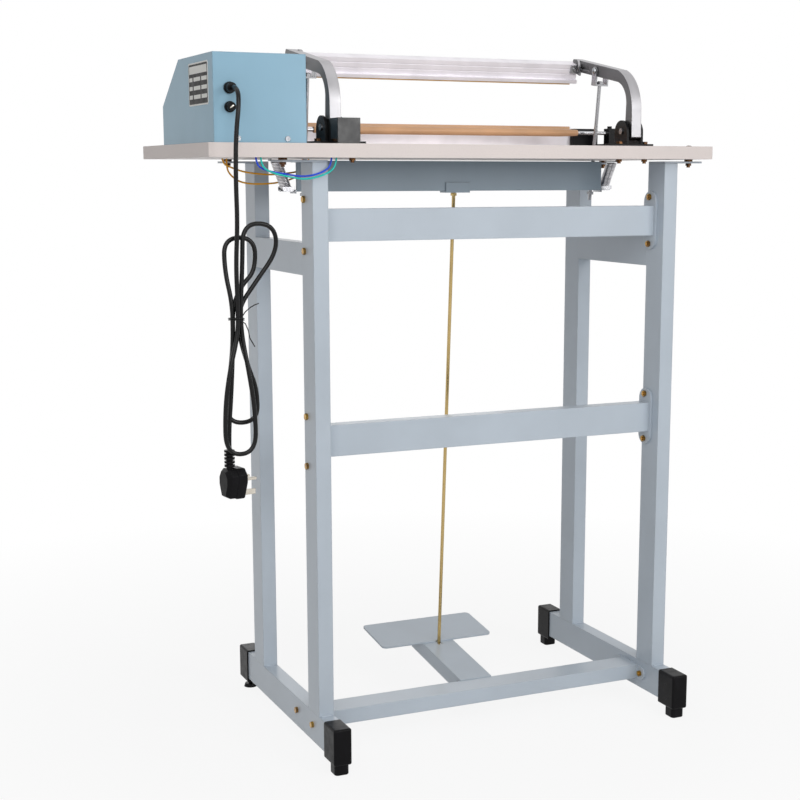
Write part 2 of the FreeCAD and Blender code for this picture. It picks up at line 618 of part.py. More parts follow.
for side in ("right", "left"):
    s = out_sign[side]
    x = arm_x[side]
    base_x0, base_x1 = sorted((x - s * (ear_out + BRACKET_IN), x + s * (ear_out + BRACKET_OUT)))
    base = box(base_x0, base_x1, bracket_y0, bracket_y0 + BRACKET_BASE_D, TABLE_TOP_Z, bracket_base_z)
    ears = []
    for k in (-1, 1):
        x0 = x + k * (ear_x + EAR_T / 2) - EAR_T / 2
        ear = profile_x([(ear_y0, bracket_base_z), (ear_y1, bracket_base_z), (ear_y1, HINGE_Z - 2.0),
                         ((ear_mid_y, HINGE_Z + EAR_TOP), (ear_y0, HINGE_Z - 2.0))], x0, x0 + EAR_T)
        ears.append(ear.cut(rod((x0 - 1, HINGE_Y, HINGE_Z), (1, 0, 0), HINGE_PIN_R, EAR_T + 2)))
    bracket = fused([base] + ears)
    for k in (-1, 1):
        # The right bracket's outer screws end in the board, above the leg's plate; the others have nuts below
        blind = side == "right" and k == s
        beside_switch = side == "right" and k != s
        bolt_out = BRACKET_BOLT_IN if beside_switch else BRACKET_BOLT_OUT
        bolt_z = TABLE_TOP_Z - SCREW_DEPTH if blind else table_base_z - NUT_T - BOLT_TAIL
        y = ear_mid_y + BRACKET_BOLT_BACK
        bx = x + k * (ear_out + bolt_out)
        bracket = bracket.cut(rod((bx, y, TABLE_TOP_Z - 1), (0, 0, 1), HOLE_R, BRACKET_BASE_T + 2))
        board = board.cut(rod((bx, y, max(bolt_z, table_base_z - 1)), (0, 0, 1), HOLE_R, TABLE_T + 2))
        bolt = [hexagon((bx, y, bracket_base_z), (0, 0, 1), HEX_ACROSS, HEAD_T),
                rod((bx, y, bolt_z), (0, 0, 1), BOLT_R, bracket_base_z - bolt_z)]
        if not blind:
            bolt.append(hexagon((bx, y, table_base_z - NUT_T), (0, 0, 1), HEX_ACROSS, NUT_T))
        bracket_bolts.append(fused(bolt))
    hinge_brackets.append(bracket)
    pin_half = ear_out + 2.0
    pin = [rod((x - pin_half, HINGE_Y, HINGE_Z), (1, 0, 0), HINGE_PIN_R, 2 * pin_half)]
    for k in (-1, 1):
        # The switch housing's side takes the collar's place at the right arm's outer face
        if side == "left" or k != s:
            pin.append(rod((x + k * (ARM_W / 2 + COLLAR_GAP), HINGE_Y, HINGE_Z), (k, 0, 0), COLLAR_R,
                           EAR_GAP - COLLAR_GAP))
    hinge_pins.append(fused(pin))

    arm = profile_x(arm_outline(HINGE_Y, HINGE_Z), x - ARM_W / 2, x + ARM_W / 2)
    boss = rod((x - ARM_W / 2, HINGE_Y, HINGE_Z), (1, 0, 0), ARM_BOSS_R, ARM_W)
    arm = fused([arm, boss])
    pocket_y = HINGE_Y - ARM_REACH + ARM_TIP_DEPTH * 0.7
    pocket_z = HINGE_Z + ARM_TIP_UP - ARM_TIP_DEPTH * 0.4
    fall = POCKET_LONG * (ARM_TIP_UP - ARM_CROWN_UP) / (ARM_REACH - ARM_CROWN_FORWARD)
    for k in (-1, 1):
        face_x = x + k * ARM_W / 2
        pocket = profile_x([(pocket_y, pocket_z), (pocket_y + POCKET_LONG, pocket_z - fall),
                            (pocket_y + POCKET_LONG, pocket_z - fall - POCKET_HIGH),
                            (pocket_y, pocket_z - POCKET_HIGH)], face_x - k * ARM_POCKET, face_x + k)
        arm = arm.cut(pocket)
    arm = arm.cut(rod((x - ARM_W, HINGE_Y, HINGE_Z), (1, 0, 0), HINGE_PIN_R + RUNNING_CLEARANCE, 2 * ARM_W))
    arm = arm.cut(rod((x - ARM_W, PULL_PIVOT_Y, PULL_PIVOT_Z), (1, 0, 0), PULL_PIN_R, 2 * ARM_W))
    nodes[side + "_arm"] = arm
nodes["hinge_brackets"] = Part.Compound(hinge_brackets)
nodes["hinge_pins"] = Part.Compound(hinge_pins)
nodes["bracket_bolts"] = Part.Compound(bracket_bolts)

# Upper sealing bar, drawn closed and turned open about the hinge line
bar_x0 = arm_x["left"] + ARM_W / 2 + BAR_END_GAP
bar_x1 = arm_x["right"] - ARM_W / 2 - BAR_END_GAP
strip_z = JAW_TOP_Z + JAW_GAP
bar_z = strip_z + STRIP_T
bar_top_z = bar_z + BAR_HEIGHT
half_web, half_flange = BAR_WEB_D / 2, BAR_FLANGE_D / 2
flange_z = bar_z + BAR_FLANGE_T
bar = profile_x([(jaw_y - half_flange, bar_z), (jaw_y + half_flange, bar_z), (jaw_y + half_flange, flange_z),
                 (jaw_y + half_web, flange_z), (jaw_y + half_web, bar_top_z), (jaw_y - half_web, bar_top_z),
                 (jaw_y - half_web, flange_z), (jaw_y - half_flange, flange_z)], bar_x0, bar_x1)
for k in range(2):
    groove_z = flange_z + 8.0 + k * 9.0
    for s in (-1, 1):
        y = jaw_y + s * half_web
        bar = bar.cut(box(bar_x0 - 1, bar_x1 + 1, y - BAR_GROOVE / 2, y + BAR_GROOVE / 2,
                          groove_z, groove_z + BAR_GROOVE))
nodes["upper_sealing_bar"] = about_x(bar, HINGE_Y, HINGE_Z, -JAW_OPENING)
strip = box(bar_x0 + STRIP_END_GAP, bar_x1 - STRIP_END_GAP, jaw_y - STRIP_W / 2, jaw_y + STRIP_W / 2,
            strip_z, bar_z)
nodes["silicone_strip"] = about_x(strip, HINGE_Y, HINGE_Z, -JAW_OPENING)

# Bright lugs that hold the bar's rear face to each arm, with one screw each
lugs = []
lug_screws = []
lug_z0 = bar_top_z - LUG_H - 1.0
lug_y = jaw_y + half_web
for s, end_x in ((1, bar_x1 + BAR_END_GAP), (-1, bar_x0 - BAR_END_GAP)):
    face = box(min(end_x, end_x - s * LUG_W), max(end_x, end_x - s * LUG_W), lug_y, lug_y + LUG_T,
               lug_z0, lug_z0 + LUG_H)
    wing = box(min(end_x, end_x - s * LUG_T), max(end_x, end_x - s * LUG_T), lug_y, lug_y + LUG_H,
               lug_z0, lug_z0 + LUG_H)
    lugs.append(about_x(fused([face, wing]), HINGE_Y, HINGE_Z, -JAW_OPENING))
    screw = rod((end_x - s * LUG_W * 0.55, lug_y + LUG_T, lug_z0 + LUG_H / 2), (0, 1, 0), 2.6, 2.0)
    lug_screws.append(about_x(screw, HINGE_Y, HINGE_Z, -JAW_OPENING))
nodes["bar_lugs"] = Part.Compound(lugs + lug_screws)

# Lower jaw: hollow base, heating element, cloth cover and its end blocks
low_x0 = arm_x["left"] + END_BLOCK_IN
low_x1 = arm_x["right"] - END_BLOCK_IN
pad_z = JAW_TOP_Z - COVER_T - ELEMENT_T
low_y0, low_y1 = jaw_y - LOWER_JAW_D / 2, jaw_y + LOWER_JAW_D / 2
w = LOWER_JAW_WALL
nodes["lower_jaw_base"] = box(low_x0, low_x1, low_y0, low_y1, TABLE_TOP_Z, pad_z).cut(
    box(low_x0 - 1, low_x1 + 1, low_y0 + w, low_y1 - w, TABLE_TOP_Z + w, pad_z - w))
element_z = pad_z
nodes["heating_element"] = box(low_x0, low_x1, jaw_y - ELEMENT_W / 2, jaw_y + ELEMENT_W / 2,
                               element_z, element_z + ELEMENT_T)
cover_z = element_z + ELEMENT_T
nodes["cloth_cover"] = box(bar_x0, bar_x1, low_y0, low_y1, cover_z, cover_z + COVER_T)
end_blocks = []
for s, x in ((-1, low_x0), (1, low_x1)):
    block = box(min(x, x + s * END_BLOCK_L), max(x, x + s * END_BLOCK_L), jaw_y - END_BLOCK_D / 2,
                jaw_y + END_BLOCK_D / 2, TABLE_TOP_Z, TABLE_TOP_Z + END_BLOCK_H)
    end_blocks.append(block.makeFillet(3.0, [e for e in block.Edges if abs(e.CenterOfMass.z
                                             - TABLE_TOP_Z - END_BLOCK_H) < 1e-6]))
nodes["jaw_end_blocks"] = Part.Compound(end_blocks)

# Spare cloth wound on a rod that two posts carry
roll_y = jaw_y + ROLL_BEHIND
post_x = {"right": arm_x["right"] + POST_OUT, "left": arm_x["left"] - POST_OUT}
roll_rod = rod((post_x["left"] - POST_L / 2, roll_y, ROLL_Z), (1, 0, 0), ROLL_ROD_R,
               post_x["right"] - post_x["left"] + POST_L)
nodes["cloth_roll_rod"] = roll_rod
roll_x0 = arm_x["left"] + ARM_W / 2 + ROLL_END_GAP
roll_x1 = arm_x["right"] - ARM_W / 2 - ROLL_END_GAP
nodes["cloth_roll"] = rod((roll_x0, roll_y, ROLL_Z), (1, 0, 0), ROLL_R, roll_x1 - roll_x0).cut(
    rod((roll_x0 - 1, roll_y, ROLL_Z), (1, 0, 0), ROLL_ROD_R, roll_x1 - roll_x0 + 2))
posts = []
post_bolts = []
for side in ("right", "left"):
    x0 = post_x[side] - POST_L / 2
    post = box(x0, x0 + POST_L, roll_y - POST_D / 2, roll_y + POST_D / 2, TABLE_TOP_Z, ROLL_Z + POST_TOP)
    posts.append(post.cut(rod((x0 - 1, roll_y, ROLL_Z), (1, 0, 0), ROLL_ROD_R, POST_L + 2)))
    post_bolts.append(hexagon((post_x[side], roll_y, ROLL_Z + POST_TOP), (0, 0, 1), 8.0, 4.0))
nodes["roll_posts"] = Part.Compound(posts + post_bolts)

# Switch housing behind the right arm, with the switch that the arm's heel works
switch_y1 = HINGE_Y + SWITCH_BACK
switch_y0 = switch_y1 - SWITCH_D
switch_x1 = arm_x["right"] + ARM_W / 2 + SWITCH_GAP + SWITCH_WALL
switch_x0 = switch_x1 - SWITCH_W
switch_top_z = TABLE_TOP_Z + SWITCH_H
w = SWITCH_WALL
housing = box(switch_x0, switch_x1, switch_y0, switch_y1, TABLE_TOP_Z, switch_top_z)
housing = housing.cut(box(switch_x0 + w, switch_x1 - w, switch_y0 - 1, switch_y1 - w, TABLE_TOP_Z - 1,
                          switch_top_z - w))
housing = housing.cut(box(switch_x0 + w, switch_x1 - w, switch_y0 - 1, switch_y1 - SWITCH_TOP_D, TABLE_TOP_Z,
                          switch_top_z + 1))
step_y = bracket_y0 + BRACKET_BASE_D + SWITCH_GAP
housing = housing.cut(box(switch_x0 - 1, switch_x1 + 1, switch_y0 - 1, step_y, TABLE_TOP_Z - 1,
                          bracket_base_z))
housing = housing.cut(rod((switch_x0 - 1, HINGE_Y, HINGE_Z), (1, 0, 0), HINGE_PIN_R + SWITCH_GAP,
                          SWITCH_W + 2))
nodes["switch_housing"] = housing
micro_x = (switch_x0 + switch_x1) / 2
micro_y1 = switch_y1 - w - MICRO_GAP
nodes["microswitch"] = box(micro_x - MICRO_W / 2, micro_x + MICRO_W / 2, micro_y1 - MICRO_D, micro_y1,
                           TABLE_TOP_Z, TABLE_TOP_Z + MICRO_H)

# Pull beam: channel under the table with its bent tab for the pedal rod
beam_x0, beam_x1 = arm_x["left"] - BEAM_LEFT, arm_x["right"] + BEAM_RIGHT
beam_y0, beam_y1 = BEAM_Y - BEAM_D / 2, BEAM_Y + BEAM_D / 2
beam_top_z = BEAM_BASE_Z + BEAM_H
beam = box(beam_x0, beam_x1, beam_y0, beam_y1, BEAM_BASE_Z, beam_top_z).cut(
    box(beam_x0 - 1, beam_x1 + 1, beam_y0 - 1, beam_y1 - BEAM_T, BEAM_BASE_Z + BEAM_T, beam_top_z - BEAM_T))
rod_lean = math.atan2(PULL_PIVOT_Y - BEAM_Y, PULL_PIVOT_Z - (BEAM_BASE_Z + BEAM_H / 2))
slot_half_x = PULL_ROD_R + PULL_SLOT_SIDE
slot_half_y = PULL_ROD_R + PULL_SLOT_SWING
lean_degrees = -math.degrees(rod_lean)
rod_reach = math.hypot(PULL_PIVOT_Y - BEAM_Y, PULL_PIVOT_Z - (BEAM_BASE_Z + BEAM_H / 2))
nut_drop = rod_reach + BEAM_H / 2 + 3.2
fork_x = ARM_W / 2 + SIDE_CLEARANCE
pull_pins = []
for side in ("right", "left"):
    x = arm_x[side]
    beam = beam.cut(box(x - slot_half_x, x + slot_half_x, BEAM_Y - slot_half_y, BEAM_Y + slot_half_y,
                        BEAM_BASE_Z - 1, beam_top_z + 1))
    # Fork under the arm, drawn upright and then leant with its rod
    web_z = PULL_PIVOT_Z - FORK_DROP - FORK_T
    cheeks = []
    for k in (-1, 1):
        x0 = x + k * (fork_x + FORK_T / 2) - FORK_T / 2
        cheek = profile_x([(PULL_PIVOT_Y - FORK_W / 2, web_z), (PULL_PIVOT_Y + FORK_W / 2, web_z),
                           (PULL_PIVOT_Y + FORK_W / 2, PULL_PIVOT_Z),
                           ((PULL_PIVOT_Y, PULL_PIVOT_Z + FORK_W / 2),
                            (PULL_PIVOT_Y - FORK_W / 2, PULL_PIVOT_Z))],
                          x0, x0 + FORK_T)
        cheeks.append(cheek)
    reach = fork_x + FORK_T
    web = box(x - reach, x + reach, PULL_PIVOT_Y - FORK_W / 2, PULL_PIVOT_Y + FORK_W / 2, web_z,
              web_z + FORK_T)
    fork = fused([web] + cheeks)
    fork = fork.cut(rod((x - reach - 1, PULL_PIVOT_Y, PULL_PIVOT_Z), (1, 0, 0),
                        PULL_PIN_R + RUNNING_CLEARANCE, 2 * reach + 2))
    fork = fork.cut(rod((x, PULL_PIVOT_Y, web_z - 1), (0, 0, 1), PULL_ROD_R, FORK_T + 2))
    nodes[side + "_pull_fork"] = about_x(fork, PULL_PIVOT_Y, PULL_PIVOT_Z, lean_degrees)
    tail_z = PULL_PIVOT_Z - nut_drop - PULL_ROD_TAIL
    pull_rod = rod((x, PULL_PIVOT_Y, tail_z), (0, 0, 1), PULL_ROD_R, web_z + FORK_T + NUT_T + 1.0 - tail_z)
    top_nut = hexagon((x, PULL_PIVOT_Y, web_z + FORK_T), (0, 0, 1), 11.0, NUT_T)
    low_nut = hexagon((x, PULL_PIVOT_Y, PULL_PIVOT_Z - nut_drop - NUT_T), (0, 0, 1), 11.0, NUT_T)
    pull_rod = fused([pull_rod, top_nut, low_nut])
    nodes[side + "_pull_rod"] = about_x(pull_rod, PULL_PIVOT_Y, PULL_PIVOT_Z, lean_degrees)
    pin_half = reach + 0.6
    pin = rod((x - pin_half, PULL_PIVOT_Y, PULL_PIVOT_Z), (1, 0, 0), PULL_PIN_R, 2 * pin_half)
    heads = []
    for k in (-1, 1):
        cap = Part.makeSphere(PULL_PIN_R + 3.0, V(x + k * (pin_half - 2.0), PULL_PIVOT_Y, PULL_PIVOT_Z))
        heads.append(cap.common(rod((x + k * pin_half, PULL_PIVOT_Y, PULL_PIVOT_Z), (k, 0, 0), 8.0, 6.0)))
    pull_pins.append(fused([pin] + heads))
nodes["pull_pins"] = Part.Compound(pull_pins)

# Pedal rod through the tab and the beam's lower flange, leaning forward to the lever
tilt = math.radians(PEDAL_TILT)
LEVER_TOP = LEVER_PIVOT_DROP / math.cos(tilt)
rod_foot_y = pedal_y - PEDAL_ROD_FORWARD
rod_foot_z = PEDAL_PIVOT_Z + LEVER_TOP + PEDAL_ROD_FORWARD * math.tan(tilt)
rod_head_z = BEAM_BASE_Z + PEDAL_ROD_HEAD
pedal_foot = V(PEDAL_X, rod_foot_y, rod_foot_z)
pedal_head = V(JAW_MID_X, BEAM_Y, rod_head_z)
pedal_axis = (pedal_head - pedal_foot).normalize()
pedal_start = pedal_foot - pedal_axis * PEDAL_ROD_TAIL
pedal_rod_length = (pedal_head - pedal_start).Length
pedal_rod = Part.makeCylinder(PEDAL_ROD_R, pedal_rod_length, pedal_start, pedal_axis)
tab_z = BEAM_BASE_Z - TAB_T
tab = fused([box(JAW_MID_X - TAB_W / 2, JAW_MID_X + TAB_W / 2, beam_y1 - TAB_D, beam_y1 + TAB_T, tab_z,
                 BEAM_BASE_Z),
             box(JAW_MID_X - TAB_W / 2, JAW_MID_X + TAB_W / 2, beam_y1, beam_y1 + TAB_T, tab_z,
                 tab_z + TAB_H)])
rod_hole = Part.makeCylinder(PEDAL_ROD_R + 0.3, 40.0, pedal_head - pedal_axis * 32.0, pedal_axis)
nodes["pull_beam"] = fused([beam, tab]).cut(rod_hole)
nut_starts = [pedal_head - pedal_axis * (PEDAL_ROD_HEAD + TAB_T + 1.0 + NUT_T),
              pedal_head - pedal_axis * (PEDAL_ROD_HEAD - BEAM_T - 1.0),
              pedal_foot - pedal_axis * (LEVER_T + PEDAL_NUT_GAP + NUT_T)]
pedal_nuts = [hexagon(tuple(start), tuple(pedal_axis), PEDAL_NUT_ACROSS, NUT_T) for start in nut_starts]
nodes["pedal_rod"] = fused([pedal_rod] + pedal_nuts)

# Pedal: channel lever on its pin, with the foot plate welded on top
lever_z = PEDAL_PIVOT_Z + LEVER_PIVOT_DROP
lx0, lx1 = PEDAL_X - LEVER_W / 2, PEDAL_X + LEVER_W / 2
ly0, ly1 = pedal_y - LEVER_FRONT, pedal_y + LEVER_BACK
lever = box(lx0, lx1, ly0, ly1, lever_z - LEVER_H, lever_z)
lever = lever.cut(box(lx0 + LEVER_T, lx1 - LEVER_T, ly0 - 1, ly1 + 1, lever_z - LEVER_H - 1,
                      lever_z - LEVER_T))
corner = box(lx0 - 1, lx1 + 1, pedal_y, ly1 + 1, lever_z - LEVER_H - 1, PEDAL_PIVOT_Z)
lever = lever.cut(corner.cut(rod((lx0 - 2, pedal_y, PEDAL_PIVOT_Z), (1, 0, 0), LEVER_END_R, LEVER_W + 4)))
lever = lever.cut(rod((lx0 - 1, pedal_y, PEDAL_PIVOT_Z), (1, 0, 0), PEDAL_PIN_R + RUNNING_CLEARANCE,
                      LEVER_W + 2))
slot_y = pedal_y - PEDAL_ROD_FORWARD / math.cos(tilt)
slot_w = 2 * PEDAL_ROD_R + 2.0
lever = lever.cut(box(PEDAL_X - slot_w / 2, PEDAL_X + slot_w / 2, slot_y - PEDAL_ROD_SLOT / 2,
                      slot_y + PEDAL_ROD_SLOT / 2, lever_z - LEVER_T - 1, lever_z + FOOT_PLATE_T + 1))
nodes["pedal_lever"] = about_x(lever, pedal_y, PEDAL_PIVOT_Z, -PEDAL_TILT)
py1 = pedal_y - FOOT_PLATE_BACK
plate = box(PEDAL_X - FOOT_PLATE_W / 2, PEDAL_X + FOOT_PLATE_W / 2, py1 - FOOT_PLATE_D, py1,
            lever_z, lever_z + FOOT_PLATE_T)
plate = plate.makeFillet(FOOT_PLATE_R, [e for e in plate.Edges if abs(e.tangentAt(e.FirstParameter).z) > 0.9])
plate = plate.cut(box(PEDAL_X - slot_w / 2, PEDAL_X + slot_w / 2, slot_y - PEDAL_ROD_SLOT / 2,
                      py1 + 1, lever_z - 1, lever_z + FOOT_PLATE_T + 1))
nodes["foot_plate"] = about_x(plate, pedal_y, PEDAL_PIVOT_Z, -PEDAL_TILT)
pin_half = LEVER_W / 2 + 2.0
nodes["pedal_pivot_pin"] = rod((PEDAL_X - pin_half, pedal_y, PEDAL_PIVOT_Z), (1, 0, 0), PEDAL_PIN_R,
                               2 * pin_half)


def biarc(p0, t0, p1, t1):
    """Two arcs that leave p0 along t0 and reach p1 along t1."""
    v = p1 - p0
    t = t0 + t1
    k = 2 * (1 - t0.dot(t1))
    d = (-v.dot(t) + math.sqrt(v.dot(t) ** 2 + k * v.dot(v))) / k
    q0 = p0 + t0 * d
    q1 = p1 - t1 * d
    joint = (q0 + q1) * 0.5
    arcs = []
    for a, apex, b in ((p0, q0, joint), (joint, q1, p1)):
        chord = (a + b) * 0.5
        half = (b - a).Length / 2
        rise = apex - chord
        bulge = half * math.tan(math.atan2(rise.Length, half) / 2)
        arcs.append(Part.Arc(a, chord + rise.normalize() * bulge, b).toShape())
    return arcs


# Return springs: splayed coils between the table and the hooks on the beam's ends
spring_top_z = table_base_z - HOOK_T - SPRING_TOP_GAP
return_springs = []
spring_hooks = []
spring_anchors = []
for side in ("right", "left"):
    s = out_sign[side]
    end_x = beam_x1 if s > 0 else beam_x0
    foot_x = end_x + s * SPRING_OUT
    z0 = SPRING_FOOT_Z + SPRING_WIRE_R + 0.3
    z1 = spring_top_z - SPRING_WIRE_R - 0.3

    def on_coil(u):
        """Point and direction on the coil, u in turns from the foot."""
        share = u / SPRING_TURNS
        angle = 2 * math.pi * u
        place = V(foot_x + s * SPRING_SPLAY * share + SPRING_R * math.cos(angle),
                  BEAM_Y + SPRING_R * math.sin(angle), z0 + (z1 - z0) * share)
        rate = 2 * math.pi * SPRING_R * SPRING_TURNS
        heading = V(s * SPRING_SPLAY - rate * math.sin(angle), rate * math.cos(angle), z1 - z0)
        return place, heading.normalize()

    coil = []
    for quarter in range(4 * SPRING_TURNS):
        here = on_coil(quarter / 4)
        there = on_coil((quarter + 1) / 4)
        coil += biarc(*here, *there)
    coil_wire = Part.Wire(coil)
    first, heading = on_coil(0)
    ring = Part.Wire(Part.makeCircle(SPRING_WIRE_R, first, heading))
    return_springs.append(coil_wire.makePipeShell([ring], True, False))
    self_gap(coil_wire, 2 * SPRING_WIRE_R, side + " spring")
    # Hook plate on the beam's end and anchor plate under the table
    reach = SPRING_OUT + SPRING_R + 3.0
    lip = box(min(end_x, end_x + s * reach), max(end_x, end_x + s * reach), BEAM_Y - HOOK_W / 2,
              BEAM_Y + HOOK_W / 2,
              SPRING_FOOT_Z - HOOK_T, SPRING_FOOT_Z)
    root = box(min(end_x, end_x + s * HOOK_T), max(end_x, end_x + s * HOOK_T), beam_y0, beam_y1,
               SPRING_FOOT_Z - HOOK_T - 4.0, SPRING_FOOT_Z)
    spring_hooks.append(fused([lip, root]))
    top_x = foot_x + s * SPRING_SPLAY
    plate = box(top_x - 11.0, top_x + 11.0, BEAM_Y - HOOK_W / 2, BEAM_Y + HOOK_W / 2,
                spring_top_z, spring_top_z + HOOK_T)
    riser = box(top_x + s * 11.0 - HOOK_T / 2, top_x + s * 11.0 + HOOK_T / 2, BEAM_Y - HOOK_W / 2,
                BEAM_Y + HOOK_W / 2, spring_top_z, table_base_z)
    spring_anchors.append(fused([plate, riser]))
nodes["return_springs"] = Part.Compound(return_springs)
nodes["spring_hooks"] = Part.Compound(spring_hooks)
nodes["spring_anchors"] = Part.Compound(spring_anchors)

# Control box at the right end of the table
box_x1 = TABLE_L / 2 - BOX_END_GAP
box_x0 = box_x1 - BOX_W
box_y1 = table_y1 - BOX_REAR_GAP
box_y0 = box_y1 - BOX_D
box_top_z = TABLE_TOP_Z + BOX_H
panel_top_y = box_y1 - BOX_TOP_D
panel_low_z = TABLE_TOP_Z + BOX_FRONT_H
outline = [(box_y1, TABLE_TOP_Z), (box_y1, box_top_z), (panel_top_y, box_top_z), (box_y0, panel_low_z),
           (box_y0, TABLE_TOP_Z)]
shell = profile_x(outline, box_x0, box_x1)
inner_face = Part.Face(Part.makePolygon([V(box_x0 + BOX_WALL, y, z) for y, z in outline + outline[:1]]))
inner_face = inner_face.makeOffset2D(-BOX_WALL)
cavity = inner_face.extrude(V(BOX_W - 2 * BOX_WALL, 0, 0))
mouth = box(box_x0 + BOX_WALL, box_x1 - BOX_WALL, box_y0 + BOX_WALL, box_y1 - BOX_WALL,
            TABLE_TOP_Z - 1, TABLE_TOP_Z + 2 * BOX_WALL)
shell = shell.cut(cavity).cut(mouth)

panel_slope = math.degrees(math.atan2(box_top_z - panel_low_z, panel_top_y - box_y0))
panel_mid = V((box_x0 + box_x1) / 2, (box_y0 + panel_top_y) / 2, (panel_low_z + box_top_z) / 2)
panel_frame = FreeCAD.Placement(panel_mid, FreeCAD.Rotation(V(1, 0, 0), panel_slope))


def on_panel(shape):
    """Shape drawn flat about the panel's middle, moved onto the sloping front."""
    moved = shape.copy()
    moved.Placement = panel_frame.multiply(moved.Placement)
    return moved


spindle_hole = rod((KNOB_X, KNOB_V, -20), (0, 0, 1), SPINDLE_R + 0.3, 40)
rocker_hole = box(ROCKER_X - ROCKER_W / 2 - 2, ROCKER_X + ROCKER_W / 2 + 2, ROCKER_V - ROCKER_L / 2 - 2,
                  ROCKER_V + ROCKER_L / 2 + 2, -20, 20)
lamp_hole = rod((LAMP_X, LAMP_V, -20), (0, 0, 1), PANEL_LAMP_R, 40)
for hole in (spindle_hole, rocker_hole, lamp_hole):
    shell = shell.cut(on_panel(hole))
gland_x = box_x1 - GLAND_X
gland_z = TABLE_TOP_Z + GLAND_Z
fuse_z = TABLE_TOP_Z + FUSE_Z
shell = shell.cut(rod((gland_x, box_y1 - 10, gland_z), (0, 1, 0), GLAND_R - 2.5, 20))
shell = shell.cut(rod((gland_x, box_y1 - 10, fuse_z), (0, 1, 0), FUSE_R - 2.0, 20))
nodes["control_box_cover"] = shell
floor_gap = BOX_WALL + 0.3
box_base = box(box_x0 + floor_gap, box_x1 - floor_gap, box_y0 + floor_gap, box_y1 - floor_gap,
               TABLE_TOP_Z, TABLE_TOP_Z + 2.0)
for x, y in bolt_spots:
    box_base = box_base.cut(rod((x, y, TABLE_TOP_Z - 1), (0, 0, 1), DOME_R + 1.0, 10))
nodes["control_box_base"] = box_base

# Timer with its knob, power switch and lamp on the sloping panel
knob_lift = 0.8
knob = fused([rod((KNOB_X, KNOB_V, knob_lift), (0, 0, 1), KNOB_R, 3.0),
              Part.makeCone(KNOB_R - 3.0, KNOB_R - 5.0, KNOB_H - 3.0, V(KNOB_X, KNOB_V, knob_lift + 3.0)),
              box(KNOB_X - 1.2, KNOB_X + 1.2, KNOB_V, KNOB_V + KNOB_R - 3.6, knob_lift + 3.0,
                  knob_lift + KNOB_H + 1.0),
              rod((KNOB_X, KNOB_V, -14), (0, 0, 1), SPINDLE_R, 14 + knob_lift)])
nodes["timer_knob"] = on_panel(knob)
timer = box(KNOB_X - 17, KNOB_X + 17, KNOB_V - 17, KNOB_V + 17, -BOX_WALL - 18, -BOX_WALL)
nodes["timer_unit"] = on_panel(timer.cut(rod((KNOB_X, KNOB_V, -17), (0, 0, 1), SPINDLE_R + RUNNING_CLEARANCE,
                                             20)))
switch = fused([box(ROCKER_X - ROCKER_W / 2 - 4, ROCKER_X + ROCKER_W / 2 + 4, ROCKER_V - ROCKER_L / 2 - 4,
                    ROCKER_V + ROCKER_L / 2 + 4, 0, 1.8),
                box(ROCKER_X - ROCKER_W / 2 - 2, ROCKER_X + ROCKER_W / 2 + 2, ROCKER_V - ROCKER_L / 2 - 2,
                    ROCKER_V + ROCKER_L / 2 + 2, -16, 1.8)])
well = box(ROCKER_X - ROCKER_W / 2 - ROCKER_GAP, ROCKER_X + ROCKER_W / 2 + ROCKER_GAP,
           ROCKER_V - ROCKER_L / 2 - ROCKER_GAP, ROCKER_V + ROCKER_L / 2 + ROCKER_GAP, -10, 5)
nodes["power_switch_body"] = on_panel(switch.cut(well))
pivot_v, pivot_n = ROCKER_V, -1.0
rocker = profile_x([(ROCKER_V - ROCKER_L / 2, pivot_n - 1.5), (ROCKER_V + ROCKER_L / 2, pivot_n - 1.5),
                    (ROCKER_V + ROCKER_L / 2, 4.6),
                    ((ROCKER_V, 2.6), (ROCKER_V - ROCKER_L / 2, 4.6))], ROCKER_X - ROCKER_W / 2,
                    ROCKER_X + ROCKER_W / 2)
axle = rod((ROCKER_X - ROCKER_W / 2 - ROCKER_GAP + 0.1, pivot_v, pivot_n), (1, 0, 0), 1.2,
           ROCKER_W + 2 * ROCKER_GAP - 0.2)
nodes["power_switch_rocker"] = on_panel(about_x(fused([rocker, axle]), pivot_v, pivot_n, 7.0))
lamp = fused([rod((LAMP_X, LAMP_V, -12), (0, 0, 1), PANEL_LAMP_R - 0.2, 12),
              rod((LAMP_X, LAMP_V, 0), (0, 0, 1), 6.5, 1.5),
              Part.makeSphere(4.4, V(LAMP_X, LAMP_V, 1.0)).common(rod((LAMP_X, LAMP_V, 1.4), (0, 0, 1), 6.0,
                                                                      6.0))])
nodes["indicator_lamp"] = on_panel(lamp)

# Inside the box
tx, ty = (box_x0 + box_x1) / 2, box_y1 - 70.0
core = box(tx - 38, tx + 38, ty - 16, ty + 16, TABLE_TOP_Z + 2, TABLE_TOP_Z + 66)
core = core.cut(box(tx - 25, tx + 25, ty - 17, ty + 17, TABLE_TOP_Z + 15, TABLE_TOP_Z + 53))
winding = box(tx - 25, tx + 25, ty - 26, ty + 26, TABLE_TOP_Z + 15, TABLE_TOP_Z + 53)
winding = winding.makeFillet(4.0, [e for e in winding.Edges if abs(e.tangentAt(e.FirstParameter).z) > 0.9])
nodes["transformer"] = Part.Compound([core, winding])
bx, by = tx, box_y0 + 80.0
board_pcb = box(bx - 45, bx + 45, by - 30, by + 30, TABLE_TOP_Z + 8, TABLE_TOP_Z + 9.6)
standoffs = [rod((bx + i * 40, by + j * 25, TABLE_TOP_Z + 2), (0, 0, 1), 3.0, 6.0) for i in (-1, 1)
             for j in (-1, 1)]
parts_on = [box(bx - 30, bx - 12, by - 12, by + 6, TABLE_TOP_Z + 9.6, TABLE_TOP_Z + 24),
            rod((bx + 18, by, TABLE_TOP_Z + 9.6), (0, 0, 1), 7.0, 16.0)]
nodes["timer_board"] = fused([board_pcb] + standoffs + parts_on)

